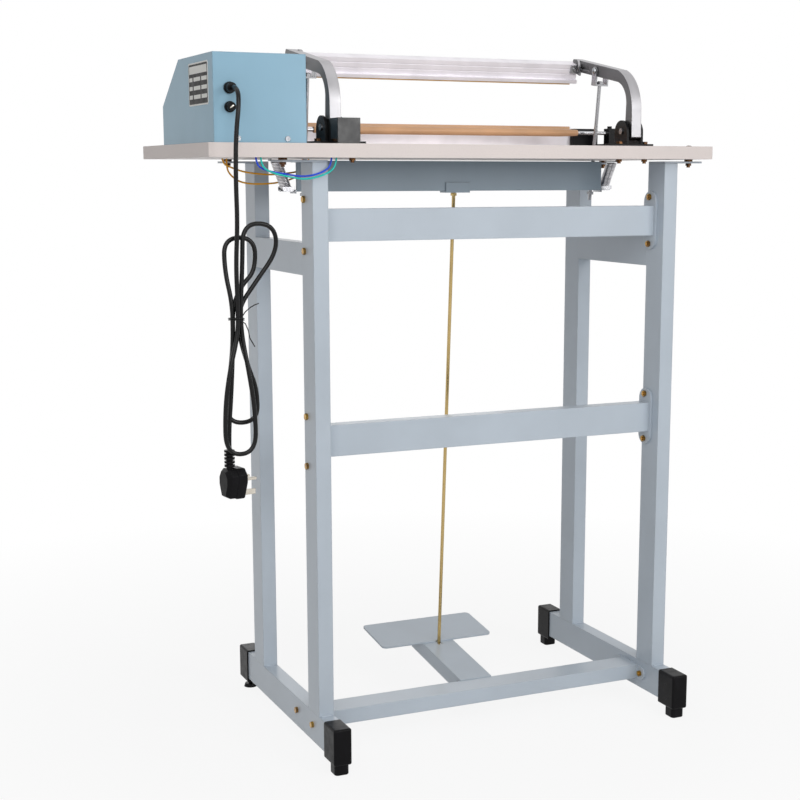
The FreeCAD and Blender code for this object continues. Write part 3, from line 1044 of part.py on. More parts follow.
# Rear of the box: gland, fuse holder and cover screws
gland = fused([rod((gland_x, box_y1, gland_z), (0, 1, 0), GLAND_R, 4.0),
               rod((gland_x, box_y1 + 4.0, gland_z), (0, 1, 0), GLAND_R - 1.5, GLAND_L - 4.0),
               rod((gland_x, box_y1 - 6.0, gland_z), (0, 1, 0), GLAND_R - 2.8, 6.0)])
nodes["cord_gland"] = gland
nodes["fuse_holder"] = fused([rod((gland_x, box_y1, fuse_z), (0, 1, 0), FUSE_R, 4.0),
                              rod((gland_x, box_y1 + 4.0, fuse_z), (0, 1, 0), FUSE_R - 1.5, FUSE_L - 4.0),
                              rod((gland_x, box_y1 - 20.0, fuse_z), (0, 1, 0), FUSE_R - 2.3, 20.0)])
cover_screws = []
for share in (0.255, 0.79):
    x = box_x1 - share * BOX_W
    cover_screws.append(rod((x, box_y1, TABLE_TOP_Z + 6.0), (0, 1, 0), 2 * COVER_SCREW_R, 1.8))
nodes["cover_screws"] = Part.Compound(cover_screws)

# Leads under the table: two from the transformer to the element, two from the switch

def lead(route, name):
    """Wire between two holes in the table's underside, through hand-placed points between them."""
    global board
    for x, y, z in (route[0], route[-1]):
        board = board.cut(rod((x, y, table_base_z - 1), (0, 0, 1), LEAD_HOLE_R, LEAD_ROOT + 4.0))
    ends = [(route[0][0], route[0][1], table_base_z + LEAD_ROOT),
            (route[-1][0], route[-1][1], table_base_z + LEAD_ROOT)]
    return tube_along([ends[0]] + route + [ends[1]], 2 * LEAD_R, name)[0]


def below_table(steps):
    """Points given inwards from the box's outer end, ahead of the hinge line and below the table."""
    return [(box_x1 - inward, HINGE_Y - ahead, table_base_z - down) for inward, ahead, down in steps]


nodes["heater_leads"] = Part.Compound([
    lead(below_table([(70, 138, 7), (84, 138, 14), (108, 138, 22), (146, 138, 25.5), (162, 138, 24.5),
                      (190, 139, 22),
                      (212, 146, 17), (222, 156, 9)]), "lead"),
    lead(below_table([(79, 144, 14), (84, 144, 25), (98, 144, 36), (118, 144, 40), (142, 144, 40),
                      (162, 144, 38.5),
                      (184, 144, 34), (204, 149, 26), (214, 160, 12)]), "lead")])
nodes["switch_leads"] = Part.Compound([
    lead(below_table([(65.5, -47, 10), (79.5, -45, 19), (109.5, -44, 24), (144.5, -43, 29), (174.5, -43, 21),
                      (186.5, -43, 10)]), "lead"),
    lead(below_table([(71.5, -51.5, 11), (86.5, -49, 22), (114.5, -48, 28), (144.5, -47.5, 33),
                      (178.5, -48, 24),
                      (192.5, -48, 11)]), "lead")])

# Power cord: hangs from the gland, runs twice through its tied hank and ends at the plug
cord_steps = [
    (0, GLAND_L, 0), (0, 35.5, 0), (1.5, 53, -18.5), (7.5, 51.5, -70.5), (8.5, 50.5, -135.5),
    (7, 49.5, -193.5), (10.5, 49, -250.5), (9.1, 48.8, -307.5), (9.1, 49.2, -350.5), (25.5, 55, -405.5),
    (34, 56, -460.5), (34, 56, -527.5), (-12, 56, -527.5), (-12, 56, -465.5), (-4.5, 52, -405.5),
    (3.4, 44.4, -350.5), (3.1, 44, -307.5), (-1, 43, -250.5), (-2.5, 42.5, -193.5), (-48.5, 42, -193.5),
    (-56.5, 41, -231.5), (-22.5, 38, -277.5), (3.7, 36.7, -313.5), (5.7, 36.7, -350.5),
    (-10.5, 34.5, -405.5), (-22.5, 34, -436.5), (-22.5, 34, -484.5), (24, 34, -484.5), (24, 34, -436.5),
    (16.5, 35, -398.5), (13.3, 36.8, -350.5), (13.1, 36.6, -313.5), (-0.5, 35, -283.5), (-23.5, 34, -261.5),
    (-23, 34, -213.5), (23.5, 34.5, -213.5), (24, 37, -260.5), (15.8, 44, -307.5), (15.7, 43.6, -350.5),
    (17, 42.5, -395.5), (20.5, 42, -450.5), (24.5, 42, -493.5), (24.5, 42, -522.5)]
CORD_ROUTE = [(gland_x + out, box_y1 + back, gland_z + up) for out, back, up in cord_steps]
nodes["power_cord"], cord_wire = tube_along(CORD_ROUTE, CORD_D, "power cord")
self_gap(cord_wire, CORD_D, "power cord")
tie = V(gland_x + TIE_OUT, box_y1 + TIE_BACK, gland_z - TIE_DROP - TIE_H / 2)
nodes["cord_tie"] = rod(tie, (0, 0, 1), TIE_R, TIE_H).cut(rod(tie - V(0, 0, 1), (0, 0, 1), TIE_R - TIE_T,
                                                              TIE_H + 2))

# Plug with a ribbed sleeve where the cord comes in and three flat pins
plug_x, plug_y, plug_top_z = CORD_ROUTE[-1]
body_top = plug_top_z - SLEEVE_L
face_x = plug_x - PLUG_FACE


def plug_section(x, share, drop):
    """Shouldered outline of the plug at one depth, narrowing to its base."""
    half = share * PLUG_W / 2
    top, base = body_top - drop, body_top - PLUG_H + drop
    right = [(0.55 * half, top), (half, top - 0.2 * PLUG_H), (half, top - 0.42 * PLUG_H), (0.5 * half, base)]
    left = [(-y, z) for y, z in reversed(right)]
    outline = [V(x, plug_y + y, z) for y, z in right + left]
    return Part.makePolygon(outline + outline[:1])


seam_x = face_x + PLUG_SEAM
plug_base = Part.makeLoft([plug_section(face_x, 0.96, 1.0), plug_section(face_x + 2.0, 1.0, 0.0),
                           plug_section(seam_x, 1.0, 0.0)], True, True)
plug_cover = Part.makeLoft([plug_section(seam_x, 0.94, 1.2), plug_section(seam_x + 10.0, 0.9, 1.2),
                            plug_section(face_x + PLUG_T, 0.6, 5.0)], True, True)
relief = [rod((plug_x, plug_y, body_top - 3.0), (0, 0, 1), SLEEVE_CORE_R, SLEEVE_L + 3.0)]
for k in range(SLEEVE_RIBS):
    rib_z = body_top + SLEEVE_L * (k + 0.4) / SLEEVE_RIBS
    relief.append(rod((plug_x, plug_y, rib_z), (0, 0, 1), SLEEVE_R, RIB_T))
nodes["power_plug"] = fused([plug_base, plug_cover] + relief)
live_z = body_top - 17.0
pins = [box(face_x - 17.7, face_x, plug_y + k * PIN_PITCH / 2 - 3.2, plug_y + k * PIN_PITCH / 2 + 3.2,
            live_z - 2.0,
            live_z + 2.0) for k in (-1, 1)]
pins.append(box(face_x - 22.0, face_x, plug_y - 2.0, plug_y + 2.0, live_z - PIN_PITCH - 4.0,
                live_z - PIN_PITCH + 4.0))
nodes["plug_pins"] = Part.Compound(pins)
for name in ("power_plug", "plug_pins"):
    nodes[name].rotate(V(plug_x, plug_y, 0), V(0, 0, 1), PLUG_TURN)
nodes["tabletop"] = board

os.makedirs("parts", exist_ok=True)
for name, shape in nodes.items():
    shape.exportStep("parts/%s.step" % name)
print(len(nodes), "nodes")
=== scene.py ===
"""Looks of the foot-pedal impulse heat sealer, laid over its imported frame.

Each sub-assembly is a class that makes its fine pieces and dresses its frame nodes with procedural finishes.
Lengths are metres, in the frame's own axes: +Z up, +X to the operator's right, -Y towards the operator.
"""
import json
import logging
import math
from collections.abc import Iterable, Sequence
from dataclasses import dataclass
from enum import Enum

import bmesh
import bpy
from mathutils import Matrix, Vector


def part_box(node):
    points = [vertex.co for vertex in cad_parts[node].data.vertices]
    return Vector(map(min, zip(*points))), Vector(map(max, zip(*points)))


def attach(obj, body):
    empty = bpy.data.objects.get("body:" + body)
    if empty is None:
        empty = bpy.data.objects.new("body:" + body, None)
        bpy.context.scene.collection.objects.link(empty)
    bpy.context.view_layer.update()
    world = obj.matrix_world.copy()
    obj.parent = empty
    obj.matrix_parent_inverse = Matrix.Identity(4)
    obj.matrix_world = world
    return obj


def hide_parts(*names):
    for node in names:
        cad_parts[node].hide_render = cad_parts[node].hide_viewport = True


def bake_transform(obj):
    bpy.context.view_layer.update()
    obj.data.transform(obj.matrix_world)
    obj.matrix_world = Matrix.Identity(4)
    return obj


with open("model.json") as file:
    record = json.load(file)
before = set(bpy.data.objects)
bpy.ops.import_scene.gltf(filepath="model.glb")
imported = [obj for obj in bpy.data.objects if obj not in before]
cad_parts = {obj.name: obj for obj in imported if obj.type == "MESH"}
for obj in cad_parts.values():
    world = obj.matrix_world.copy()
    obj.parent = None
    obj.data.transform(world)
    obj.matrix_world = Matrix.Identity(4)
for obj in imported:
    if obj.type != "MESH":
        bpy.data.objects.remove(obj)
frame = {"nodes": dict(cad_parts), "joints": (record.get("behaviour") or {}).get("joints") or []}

log = logging.getLogger("heat_sealer")
Colour = tuple[float, float, float]
Point = tuple[float, float, float]
Socket = bpy.types.NodeSocket
Work = bmesh.types.BMesh

BEVEL_SAMPLES = 4   # rays that find a rounded normal
EDGE_RANGE = (0.995, 0.82)   # likeness of the true and the rounded normal, on flats and at edges
FACING_RANGE = (0.6, 0.9)   # share of the normal along an axis, on faces that look away and along it
MIX_COLOURS, MIX_RESULT = (6, 7), 2   # the colour sockets of a Mix node
SAME_SPOT = 1e-7   # corners nearer than this become one
SLAB_SEGMENTS, SLAB_PROFILE = 2, 0.6   # shape of a block's softened edges
CORD_ORDER, CORD_STEPS, CORD_ROUND = 3, 10, 4   # smoothness of a cord along it and round it


class Body(str, Enum):
    """Moving groups of the frame that a piece can ride on."""

    STAND = "stand"
    JAW = "jaw"
    BEAM = "beam"
    KNOB = "knob"


class Slot(str, Enum):
    """Material slots of the record."""

    BLACK_PAINT = "black_paint"
    BLACK_PLASTIC = "black_plastic"
    BLACK_RUBBER = "black_rubber"
    BOX_PAINT = "box_paint"
    BRIGHT_STEEL = "bright_steel"
    CAST_ALUMINIUM = "cast_aluminium"
    LEAD_BLUE = "lead_blue"
    LEAD_YELLOW = "lead_yellow"
    STAND_PAINT = "stand_paint"
    TAN_CLOTH = "tan_cloth"


class Axis(Enum):
    """A piece's own axes, each with the stretch of a pattern whose lines run along it."""

    X = (0.02, 1.0, 1.0)
    Y = (1.0, 0.02, 1.0)
    Z = (1.0, 1.0, 0.02)


def linear(colour: Colour) -> tuple[float, float, float, float]:
    """Turns a colour as seen on screen into the shader's linear one.

    Args:
        colour: Red, green and blue from 0 to 1.

    Returns:
        The linear colour with full alpha.
    """
    def one(value: float) -> float:
        """Converts one channel."""
        return value / 12.92 if value <= 0.04045 else ((value + 0.055) / 1.055) ** 2.4

    return one(colour[0]), one(colour[1]), one(colour[2]), 1.0


def shade(colour: Colour, factor: float) -> Colour:
    """Lightens or darkens a colour.

    Args:
        colour: Red, green and blue from 0 to 1.
        factor: Below 1 darkens and above 1 lightens.

    Returns:
        The changed colour, kept within 0 to 1.
    """
    return tuple(min(1.0, max(0.0, value * factor)) for value in colour)


class Shader:
    """Hand for wiring the nodes of one material."""

    def __init__(self, name: str) -> None:
        """Starts a material with its principled shader.

        Args:
            name: The material's name.
        """
        self.material = bpy.data.materials.new(name)
        self.material.use_nodes = True
        self.tree = self.material.node_tree
        self.surface = self.tree.nodes["Principled BSDF"]

    def node(self, kind: str, **values: float | str | bool) -> bpy.types.Node:
        """Adds a node.

        Args:
            kind: The node's class name after ShaderNode.
            **values: Settings of the node, or values of its input sockets.

        Returns:
            The new node.
        """
        made = self.tree.nodes.new("ShaderNode" + kind)
        for key, value in values.items():
            if key in made.inputs:
                made.inputs[key].default_value = value
            else:
                setattr(made, key, value)
        return made

    def wire(self, source: Socket, target: Socket) -> None:
        """Joins an output to an input."""
        self.tree.links.new(source, target)

    def fix(self, **values: float | tuple) -> None:
        """Sets constant values on the principled shader, with underscores for the spaces in socket names."""
        for key, value in values.items():
            self.surface.inputs[key.replace("_", " ")].default_value = value

    def place(self, stretch: Point = (1.0, 1.0, 1.0)) -> Socket:
        """Gives the piece's own coordinates in metres.

        Args:
            stretch: Scale along each axis.

        Returns:
            The coordinates' socket.
        """
        mapping = self.node("Mapping")
        mapping.inputs["Scale"].default_value = stretch
        self.wire(self.node("TexCoord").outputs["Object"], mapping.inputs["Vector"])
        return mapping.outputs["Vector"]

    def noise(self, where: Socket, scale: float, detail: float = 2.0) -> Socket:
        """Adds a noise pattern.

        Args:
            where: The coordinates it lies in.
            scale: Its fineness per metre.
            detail: How many finer layers it has.

        Returns:
            The socket of its value from 0 to 1.
        """
        made = self.node("TexNoise", Scale=scale, Detail=detail)
        self.wire(where, made.inputs["Vector"])
        return made.outputs["Fac"]

    def wave(self, where: Socket, scale: float, across: Axis, wander: float) -> Socket:
        """Adds evenly spaced bands.

        Args:
            where: The coordinates they lie in.
            scale: Their fineness per metre.
            across: The axis across them.
            wander: How much they stray from straight.

        Returns:
            The socket of their value from 0 to 1.
        """
        made = self.node("TexWave", bands_direction=across.name, Scale=scale, Distortion=wander)
        self.wire(where, made.inputs["Vector"])
        return made.outputs["Fac"]

    def spread(self, value: Socket, low: float = 0.3, high: float = 0.7,
               to_low: float = 0.0, to_high: float = 1.0) -> Socket:
        """Maps a pattern's value to another range.

        Args:
            value: The pattern's value.
            low: The value that becomes to_low.
            high: The value that becomes to_high.
            to_low: The least result.
            to_high: The greatest result.

        Returns:
            The socket of the result.
        """
        made = self.node("MapRange")
        for key, number in (("From Min", low), ("From Max", high), ("To Min", to_low), ("To Max", to_high)):
            made.inputs[key].default_value = number
        self.wire(value, made.inputs["Value"])
        return made.outputs["Result"]

    def blend(self, share: Socket, first: Colour | Socket, second: Colour | Socket) -> Socket:
        """Mixes two colours by a pattern.

        Args:
            share: How much of the second colour shows.
            first: A colour, or the socket of one.
            second: A colour, or the socket of one.

        Returns:
            The mixed colour's socket.
        """
        made = self.node("Mix", data_type="RGBA")
        self.wire(share, made.inputs[0])
        for slot, colour in zip(MIX_COLOURS, (first, second)):
            if isinstance(colour, tuple):
                made.inputs[slot].default_value = linear(colour)
            else:
                self.wire(colour, made.inputs[slot])
        return made.outputs[MIX_RESULT]

    def mottle(self, pattern: Socket, colour: Colour, dark: float, light: float) -> Socket:
        """Makes a colour uneven by a noise, from its dark to its light share of the colour."""
        return self.blend(self.spread(pattern), shade(colour, dark), shade(colour, light))

    def product(self, first: Socket, second: Socket) -> Socket:
        """Multiplies two patterns.

        Args:
            first: The one pattern.
            second: The other pattern.

        Returns:
            The product's socket.
        """
        made = self.node("Math", operation="MULTIPLY")
        self.wire(first, made.inputs[0])
        self.wire(second, made.inputs[1])
        return made.outputs[0]

    def edges(self, radius: float) -> Socket:
        """Finds the piece's edges.

        Args:
            radius: Width of the edge band, in metres.

        Returns:
            The socket of a mask that rises from 0 on flats to 1 at edges.
        """
        rounded = self.node("Bevel", samples=BEVEL_SAMPLES, Radius=radius)
        flat = self.node("NewGeometry")
        dot = self.node("VectorMath", operation="DOT_PRODUCT")
        self.wire(rounded.outputs["Normal"], dot.inputs[0])
        self.wire(flat.outputs["Normal"], dot.inputs[1])
        return self.spread(dot.outputs["Value"], *EDGE_RANGE)

    def facing(self, axis: Axis) -> Socket:
        """Finds the faces that look along one of the piece's own axes.

        Args:
            axis: The axis.

        Returns:
            The socket of a mask that is 1 on such faces, whichever way they look, and 0 on the others.
        """
        split = self.node("SeparateXYZ")
        self.wire(self.node("TexCoord").outputs["Normal"], split.inputs[0])
        size = self.node("Math", operation="ABSOLUTE")
        self.wire(split.outputs[axis.name], size.inputs[0])
        return self.spread(size.outputs[0], *FACING_RANGE)

    def relief(self, height: Socket, depth: float, rounding: float = 0.0) -> None:
        """Raises the surface by a pattern, over softened edges.

        Args:
            height: The pattern.
            depth: Its height in metres.
            rounding: Radius of the softened edges, in metres.
        """
        bump = self.node("Bump", Distance=depth, Strength=1.0)
        self.wire(height, bump.inputs["Height"])
        if rounding:
            rounded = self.node("Bevel", samples=BEVEL_SAMPLES, Radius=rounding)
            self.wire(rounded.outputs["Normal"], bump.inputs["Normal"])
        self.wire(bump.outputs["Normal"], self.surface.inputs["Normal"])

    def paint(self, colour: Socket) -> None:
        """Wires a colour to the surface."""
        self.wire(colour, self.surface.inputs["Base Color"])

    def gloss(self, pattern: Socket, low: float, high: float) -> None:
        """Makes the roughness follow a noise, from its low to its high value."""
        self.wire(self.spread(pattern, to_low=low, to_high=high), self.surface.inputs["Roughness"])


@dataclass(frozen=True)
class Finish:
    """A surface finish, of which each kind has its own look."""

    name: str
    colour: Colour

    def coat(self, hand: Shader) -> None:
        """Wires the finish's look with the given hand."""
        raise NotImplementedError

    def make(self) -> bpy.types.Material:
        """Makes the finish's material.

        Returns:
            The new material.
        """
        hand = Shader(self.name)
        self.coat(hand)
        return hand.material


@dataclass(frozen=True)
class SprayPaint(Finish):
    """Sprayed or powder paint on steel, with a slight orange peel and a painted highlight along its edges."""

    roughness: float = 0.4
    peel: float = 0.00004
    rounding: float = 0.0012
    # Colour of the painted highlight along the edges.
    edge_highlight: Colour = (0.86, 0.88, 0.90)
    shine: float = 0.5
    edge_highlight_width: float = 0.0011

    def coat(self, hand: Shader) -> None:
        """Wires the paint's look.

        Args:
            hand: The hand that wires its material.
        """
        where = hand.place()
        body = hand.mottle(hand.noise(where, scale=7.0, detail=3.0), self.colour, dark=0.975, light=1.02)
        patches = hand.spread(hand.noise(where, scale=40.0, detail=3.0), to_low=0.08, to_high=0.4)
        # Edges are lightened in patches: a painted highlight.
        hand.paint(hand.blend(hand.product(hand.edges(self.edge_highlight_width), patches), body, self.edge_highlight))
        smear = hand.spread(hand.noise(where, scale=11.0), low=0.25, high=0.75,
                            to_low=self.roughness - 0.02, to_high=self.roughness + 0.03)
        hand.wire(smear, hand.surface.inputs["Roughness"])
        hand.relief(hand.noise(where, scale=520.0), self.peel, self.rounding)
        hand.fix(Specular_IOR_Level=self.shine)


@dataclass(frozen=True)
class DrawnMetal(Finish):
    """Extruded, drawn or brushed metal with fine lines one way."""

    grain: Axis = Axis.X
    roughness: float = 0.3
    depth: float = 0.00001
    rounding: float = 0.0005
    metallic: float = 1.0

    def coat(self, hand: Shader) -> None:
        """Wires the metal's look.

        Args:
            hand: The hand that wires its material.
        """
        lines = hand.noise(hand.place(self.grain.value), scale=1500.0, detail=3.0)
        cloud = hand.noise(hand.place(), scale=16.0, detail=3.0)
        hand.paint(hand.mottle(cloud, self.colour, dark=0.93, light=1.03))
        hand.gloss(lines, low=self.roughness - 0.07, high=self.roughness + 0.09)
        hand.relief(lines, self.depth, self.rounding)
        hand.fix(Metallic=self.metallic)


@dataclass(frozen=True)
class CastMetal(Finish):
    """Die-cast aluminium: ground faces, and as-cast sides whose darker colour is partly painted shade."""

    # Darker colour of the sides, partly painted shade.
    side: Colour = (0.43, 0.43, 0.435)
    roughness: float = 0.40
    rounding: float = 0.0016
    grain: float = 0.00005
    edge_width: float = 0.0012
    flow_stretch: Point = (1.0, 0.35, 0.6)

    def coat(self, hand: Shader) -> None:
        """Wires the casting's look.

        Args:
            hand: The hand that wires its material.
        """
        flow = hand.noise(hand.place(self.flow_stretch), scale=40.0, detail=4.0)
        ground = hand.mottle(flow, self.colour, dark=0.94, light=1.04)
        # The sides are darkened, partly as painted shade.
        dull = hand.mottle(flow, self.side, dark=0.88, light=1.06)
        body = hand.blend(hand.facing(Axis.X), ground, dull)
        hand.paint(hand.blend(hand.edges(self.edge_width), body, shade(self.colour, factor=1.08)))
        hand.gloss(flow, low=self.roughness - 0.08, high=self.roughness + 0.1)
        hand.relief(hand.noise(hand.place(), scale=700.0, detail=4.0), self.grain, self.rounding)
        hand.fix(Metallic=1.0)


@dataclass(frozen=True)
class PassivatedZinc(Finish):
    """Zinc plate, with the uneven rainbow tint of its passivation."""

    tint: Colour = (0.74, 0.66, 0.56)
    roughness: float = 0.3
    shaded_rim_width: float = 0.0009
    grain: float = 0.00001
    rounding: float = 0.0004

    def coat(self, hand: Shader) -> None:
        """Wires the plating's look.

        Args:
            hand: The hand that wires its material.
        """
        where = hand.place()
        cloud = hand.spread(hand.noise(where, scale=60.0, detail=4.0), low=0.35, high=0.65)
        plate = hand.blend(cloud, self.colour, self.tint)
        # Rims and corners are darkened: painted shade.
        hand.paint(hand.blend(hand.edges(self.shaded_rim_width), plate, shade(self.tint, factor=0.5)))
        speckle = hand.noise(where, scale=240.0, detail=3.0)
        hand.gloss(speckle, low=self.roughness - 0.06, high=self.roughness + 0.1)
        hand.relief(hand.noise(where, scale=1800.0), self.grain, self.rounding)
        hand.fix(Metallic=1.0)


@dataclass(frozen=True)
class MouldedPlastic(Finish):
    """Moulded plastic or rubber with a fine spark-eroded grain and dusty, lighter edges."""

    roughness: float = 0.5
    grain: float = 0.00004
    rounding: float = 0.0012
    dust: float = 1.8
    shine: float = 0.25
    edge_width: float = 0.0008
    edge_dust: float = 0.8   # share of the dust that edges gain

    def coat(self, hand: Shader) -> None:
        """Wires the moulding's look.

        Args:
            hand: The hand that wires its material.
        """
        where = hand.place()
        film = hand.spread(hand.noise(where, scale=45.0, detail=4.0), low=0.5, high=0.75, to_high=0.6)
        scuff = hand.blend(film, self.colour, shade(self.colour, self.dust))
        rim = shade(self.colour, 1.0 + self.edge_dust * self.dust)
        hand.paint(hand.blend(hand.edges(self.edge_width), scuff, rim))
        patches = hand.noise(where, scale=70.0, detail=3.0)
        hand.gloss(patches, low=self.roughness - 0.07, high=self.roughness + 0.08)
        hand.relief(hand.noise(where, scale=2200.0), self.grain, self.rounding)
        hand.fix(Specular_IOR_Level=self.shine)


@dataclass(frozen=True)
class Laminate(Finish):
    """Melamine-faced board: a fine pebbled face with faint flecks."""

    fleck: Colour = (0.84, 0.80, 0.785)
    roughness: float = 0.49
    pebble: float = 0.00005
    rounding: float = 0.0008

    def coat(self, hand: Shader) -> None:
        """Wires the board's look.

        Args:
            hand: The hand that wires its material.
        """
        where = hand.place()
        flecks = hand.spread(hand.noise(where, scale=420.0, detail=4.0), low=0.5, high=0.68, to_high=0.5)
        base = hand.mottle(hand.noise(where, scale=4.0), self.colour, dark=0.985, light=1.015)
        hand.paint(hand.blend(flecks, base, self.fleck))
        hand.gloss(hand.noise(where, scale=600.0), low=self.roughness - 0.07, high=self.roughness + 0.07)
        hand.relief(hand.noise(where, scale=900.0, detail=3.0), self.pebble, self.rounding)


@dataclass(frozen=True)
class CoatedCloth(Finish):
    """Glass cloth coated with a smooth heat-proof skin: a fine plain weave under a dull sheen."""

    pitch: float = 0.0007
    depth: float = 0.00005
    wander: float = 0.25
    cloud_stretch: Point = (0.4, 1.0, 1.0)

    def coat(self, hand: Shader) -> None:
        """Wires the cloth's look.

        Args:
            hand: The hand that wires its material.
        """
        where = hand.place()
        scale = math.pi / (10.0 * self.pitch)   # a wave node's bands are pi / (10 scale) apart
        warp, weft = [hand.wave(where, scale, axis, self.wander) for axis in (Axis.X, Axis.Y)]
        weave = hand.product(warp, weft)
        cloud = hand.noise(hand.place(self.cloud_stretch), scale=30.0, detail=4.0)
        body = hand.mottle(cloud, self.colour, dark=0.93, light=1.05)
        gaps = hand.spread(weave, low=0.0, high=1.0, to_low=0.22, to_high=0.0)
        hand.paint(hand.blend(gaps, body, shade(self.colour, factor=0.72)))
        hand.gloss(cloud, low=0.36, high=0.46)
        hand.relief(weave, self.depth)
        hand.fix(Sheen_Weight=0.12, Sheen_Roughness=0.4)


@dataclass(frozen=True)
class SoftRubber(Finish):
    """Smooth silicone or vinyl, a little see-through at its edges."""

    roughness: float = 0.4
    depth: float = 0.002
    grain: float = 0.00002

    def coat(self, hand: Shader) -> None:
        """Wires the rubber's look.

        Args:
            hand: The hand that wires its material.
        """
        where = hand.place()
        hand.paint(hand.mottle(hand.noise(where, scale=50.0, detail=3.0), self.colour, dark=0.94, light=1.05))
        hand.gloss(hand.noise(where, scale=300.0), low=self.roughness - 0.05, high=self.roughness + 0.08)
        hand.relief(hand.noise(where, scale=1200.0), self.grain)
        hand.fix(Subsurface_Weight=0.08, Subsurface_Scale=self.depth)


@dataclass(frozen=True)
class TintedLens(Finish):
    """Clear coloured lens with moulded ribs."""

    rib_depth: float = 0.0001

    def coat(self, hand: Shader) -> None:
        """Wires the lens's look.

        Args:
            hand: The hand that wires its material.
        """
        ribs = hand.wave(hand.place(), scale=900.0, across=Axis.X, wander=0.0)
        shadow = hand.spread(ribs, low=0.0, high=1.0, to_high=0.5)
        hand.paint(hand.blend(shadow, self.colour, shade(self.colour, factor=0.7)))
        hand.relief(ribs, self.rib_depth)
        hand.fix(Roughness=0.12, Transmission_Weight=0.35, IOR=1.49)


@dataclass(frozen=True)
class Winding(Finish):
    """Enamelled copper wire lying in close turns."""

    wire_depth: float = 0.0003

    def coat(self, hand: Shader) -> None:
        """Wires the winding's look.

        Args:
            hand: The hand that wires its material.
        """
        turns = hand.wave(hand.place(), scale=260.0, across=Axis.Z, wander=0.4)
        # The grooves between turns are darkened: painted shade.
        hand.paint(hand.blend(turns, shade(self.colour, factor=0.45), self.colour))
        hand.relief(turns, self.wire_depth)
        hand.fix(Metallic=0.85, Roughness=0.32)


class Finishes(Enum):
    """All the finishes that the machine shows."""

    STAND = SprayPaint("stand_paint", (0.73, 0.77, 0.81), roughness=0.3, peel=0.00003, rounding=0.002)
    # A darker copy of the stand's paint: painted shade for the beam under the table.
    BEAM = SprayPaint("shaded_beam_paint", (0.575, 0.64, 0.69), roughness=0.34, peel=0.00004, rounding=0.0015)
    # The lighter edge colours of the two finishes below are painted highlights.
    BOX = SprayPaint("box_paint", (0.59, 0.735, 0.815), roughness=0.14, peel=0.00002, rounding=0.0025,
                     edge_highlight=(0.76, 0.85, 0.90), shine=0.09)
    BLACK_PAINT = SprayPaint("black_paint", (0.05, 0.05, 0.054), roughness=0.24, peel=0.00003,
                             rounding=0.0012, edge_highlight=(0.42, 0.42, 0.43), shine=0.16)
    BOARD = Laminate("board_laminate", (0.865, 0.825, 0.81))
    CAST = CastMetal("cast_aluminium", (0.655, 0.65, 0.66))
    BAR = DrawnMetal("bar_aluminium", (0.965, 0.95, 0.97), grain=Axis.X, roughness=0.44, depth=0.000003,
                     rounding=0.0008, metallic=0.35)
    BRIGHT = DrawnMetal("bright_steel", (0.66, 0.66, 0.67), grain=Axis.Z, roughness=0.24)
    ROD = DrawnMetal("bright_rod", (0.70, 0.70, 0.71), grain=Axis.X, roughness=0.2)
    YELLOW_ZINC = PassivatedZinc("yellow_zinc", (0.78, 0.62, 0.30), tint=(0.56, 0.42, 0.25), roughness=0.18)
    BROWN_ZINC = PassivatedZinc("brown_zinc", (0.46, 0.32, 0.20), tint=(0.30, 0.22, 0.17), roughness=0.2)
    SPRING = PassivatedZinc("spring_zinc", (0.90, 0.90, 0.91), tint=(0.74, 0.74, 0.76), roughness=0.16)
    ROD_ZINC = DrawnMetal("rod_zinc", (0.76, 0.66, 0.45), grain=Axis.Z, roughness=0.24)
    CLEAR_ZINC = PassivatedZinc("clear_zinc", (0.68, 0.69, 0.70), tint=(0.52, 0.53, 0.55), roughness=0.22)
    CAP = MouldedPlastic("cap_plastic", (0.055, 0.052, 0.06), roughness=0.34, grain=0.00004, rounding=0.0016,
                         dust=1.8, shine=0.1)
    HOUSING = MouldedPlastic("housing_plastic", (0.05, 0.05, 0.056), roughness=0.16, grain=0.00001,
                             rounding=0.0012, dust=1.5, shine=0.4)
    KNOB = MouldedPlastic("knob_plastic", (0.05, 0.05, 0.054), roughness=0.3, grain=0.00003, rounding=0.0008,
                          dust=1.8, shine=0.14)
    ROCKER = MouldedPlastic("rocker_plastic", (0.42, 0.05, 0.045), roughness=0.3, grain=0.00002,
                            rounding=0.0006, dust=1.15, shine=0.4)
    JACKET = MouldedPlastic("cord_jacket", (0.045, 0.045, 0.048), roughness=0.2, grain=0.00001, rounding=0.0,
                            dust=1.5, shine=0.24)
    SILICONE = SoftRubber("silicone_strip", (0.97, 0.80, 0.52), roughness=0.45)
    CLOTH = CoatedCloth("coated_cloth", (0.84, 0.65, 0.485))
    LENS = TintedLens("lamp_lens", (0.72, 0.08, 0.05))
    COPPER = Winding("copper_winding", (0.72, 0.40, 0.22))
    CIRCUIT = MouldedPlastic("circuit_board", (0.10, 0.30, 0.18), roughness=0.4, grain=0.00002,
                             rounding=0.0004, dust=1.3)
    NICKEL = PassivatedZinc("pin_nickel", (0.84, 0.82, 0.78), tint=(0.78, 0.75, 0.70), roughness=0.25)
    LEAD_YELLOW = SoftRubber("lead_yellow", (0.93, 0.67, 0.06), roughness=0.35)
    LEAD_BLUE = SoftRubber("lead_blue", (0.02, 0.28, 0.86), roughness=0.35)
    LEAD_GREEN = SoftRubber("lead_green", (0.0, 0.77, 0.72), roughness=0.35)
    MARK = MouldedPlastic("printed_mark", (0.92, 0.92, 0.90), roughness=0.5, grain=0.00001, rounding=0.0,
                          dust=1.0)
    FIELD = MouldedPlastic("plate_field", (0.06, 0.055, 0.055), roughness=0.4, grain=0.00001, rounding=0.0,
                           dust=1.2, shine=0.08)

    def material(self) -> bpy.types.Material:
        """Gives the finish's material, made the first time it is asked for.

        Returns:
            The material.
        """
        found = bpy.data.materials.get(self.value.name + "_finish")
        if found is None:
            found = self.value.make()
            found.name = self.value.name + "_finish"
        return found


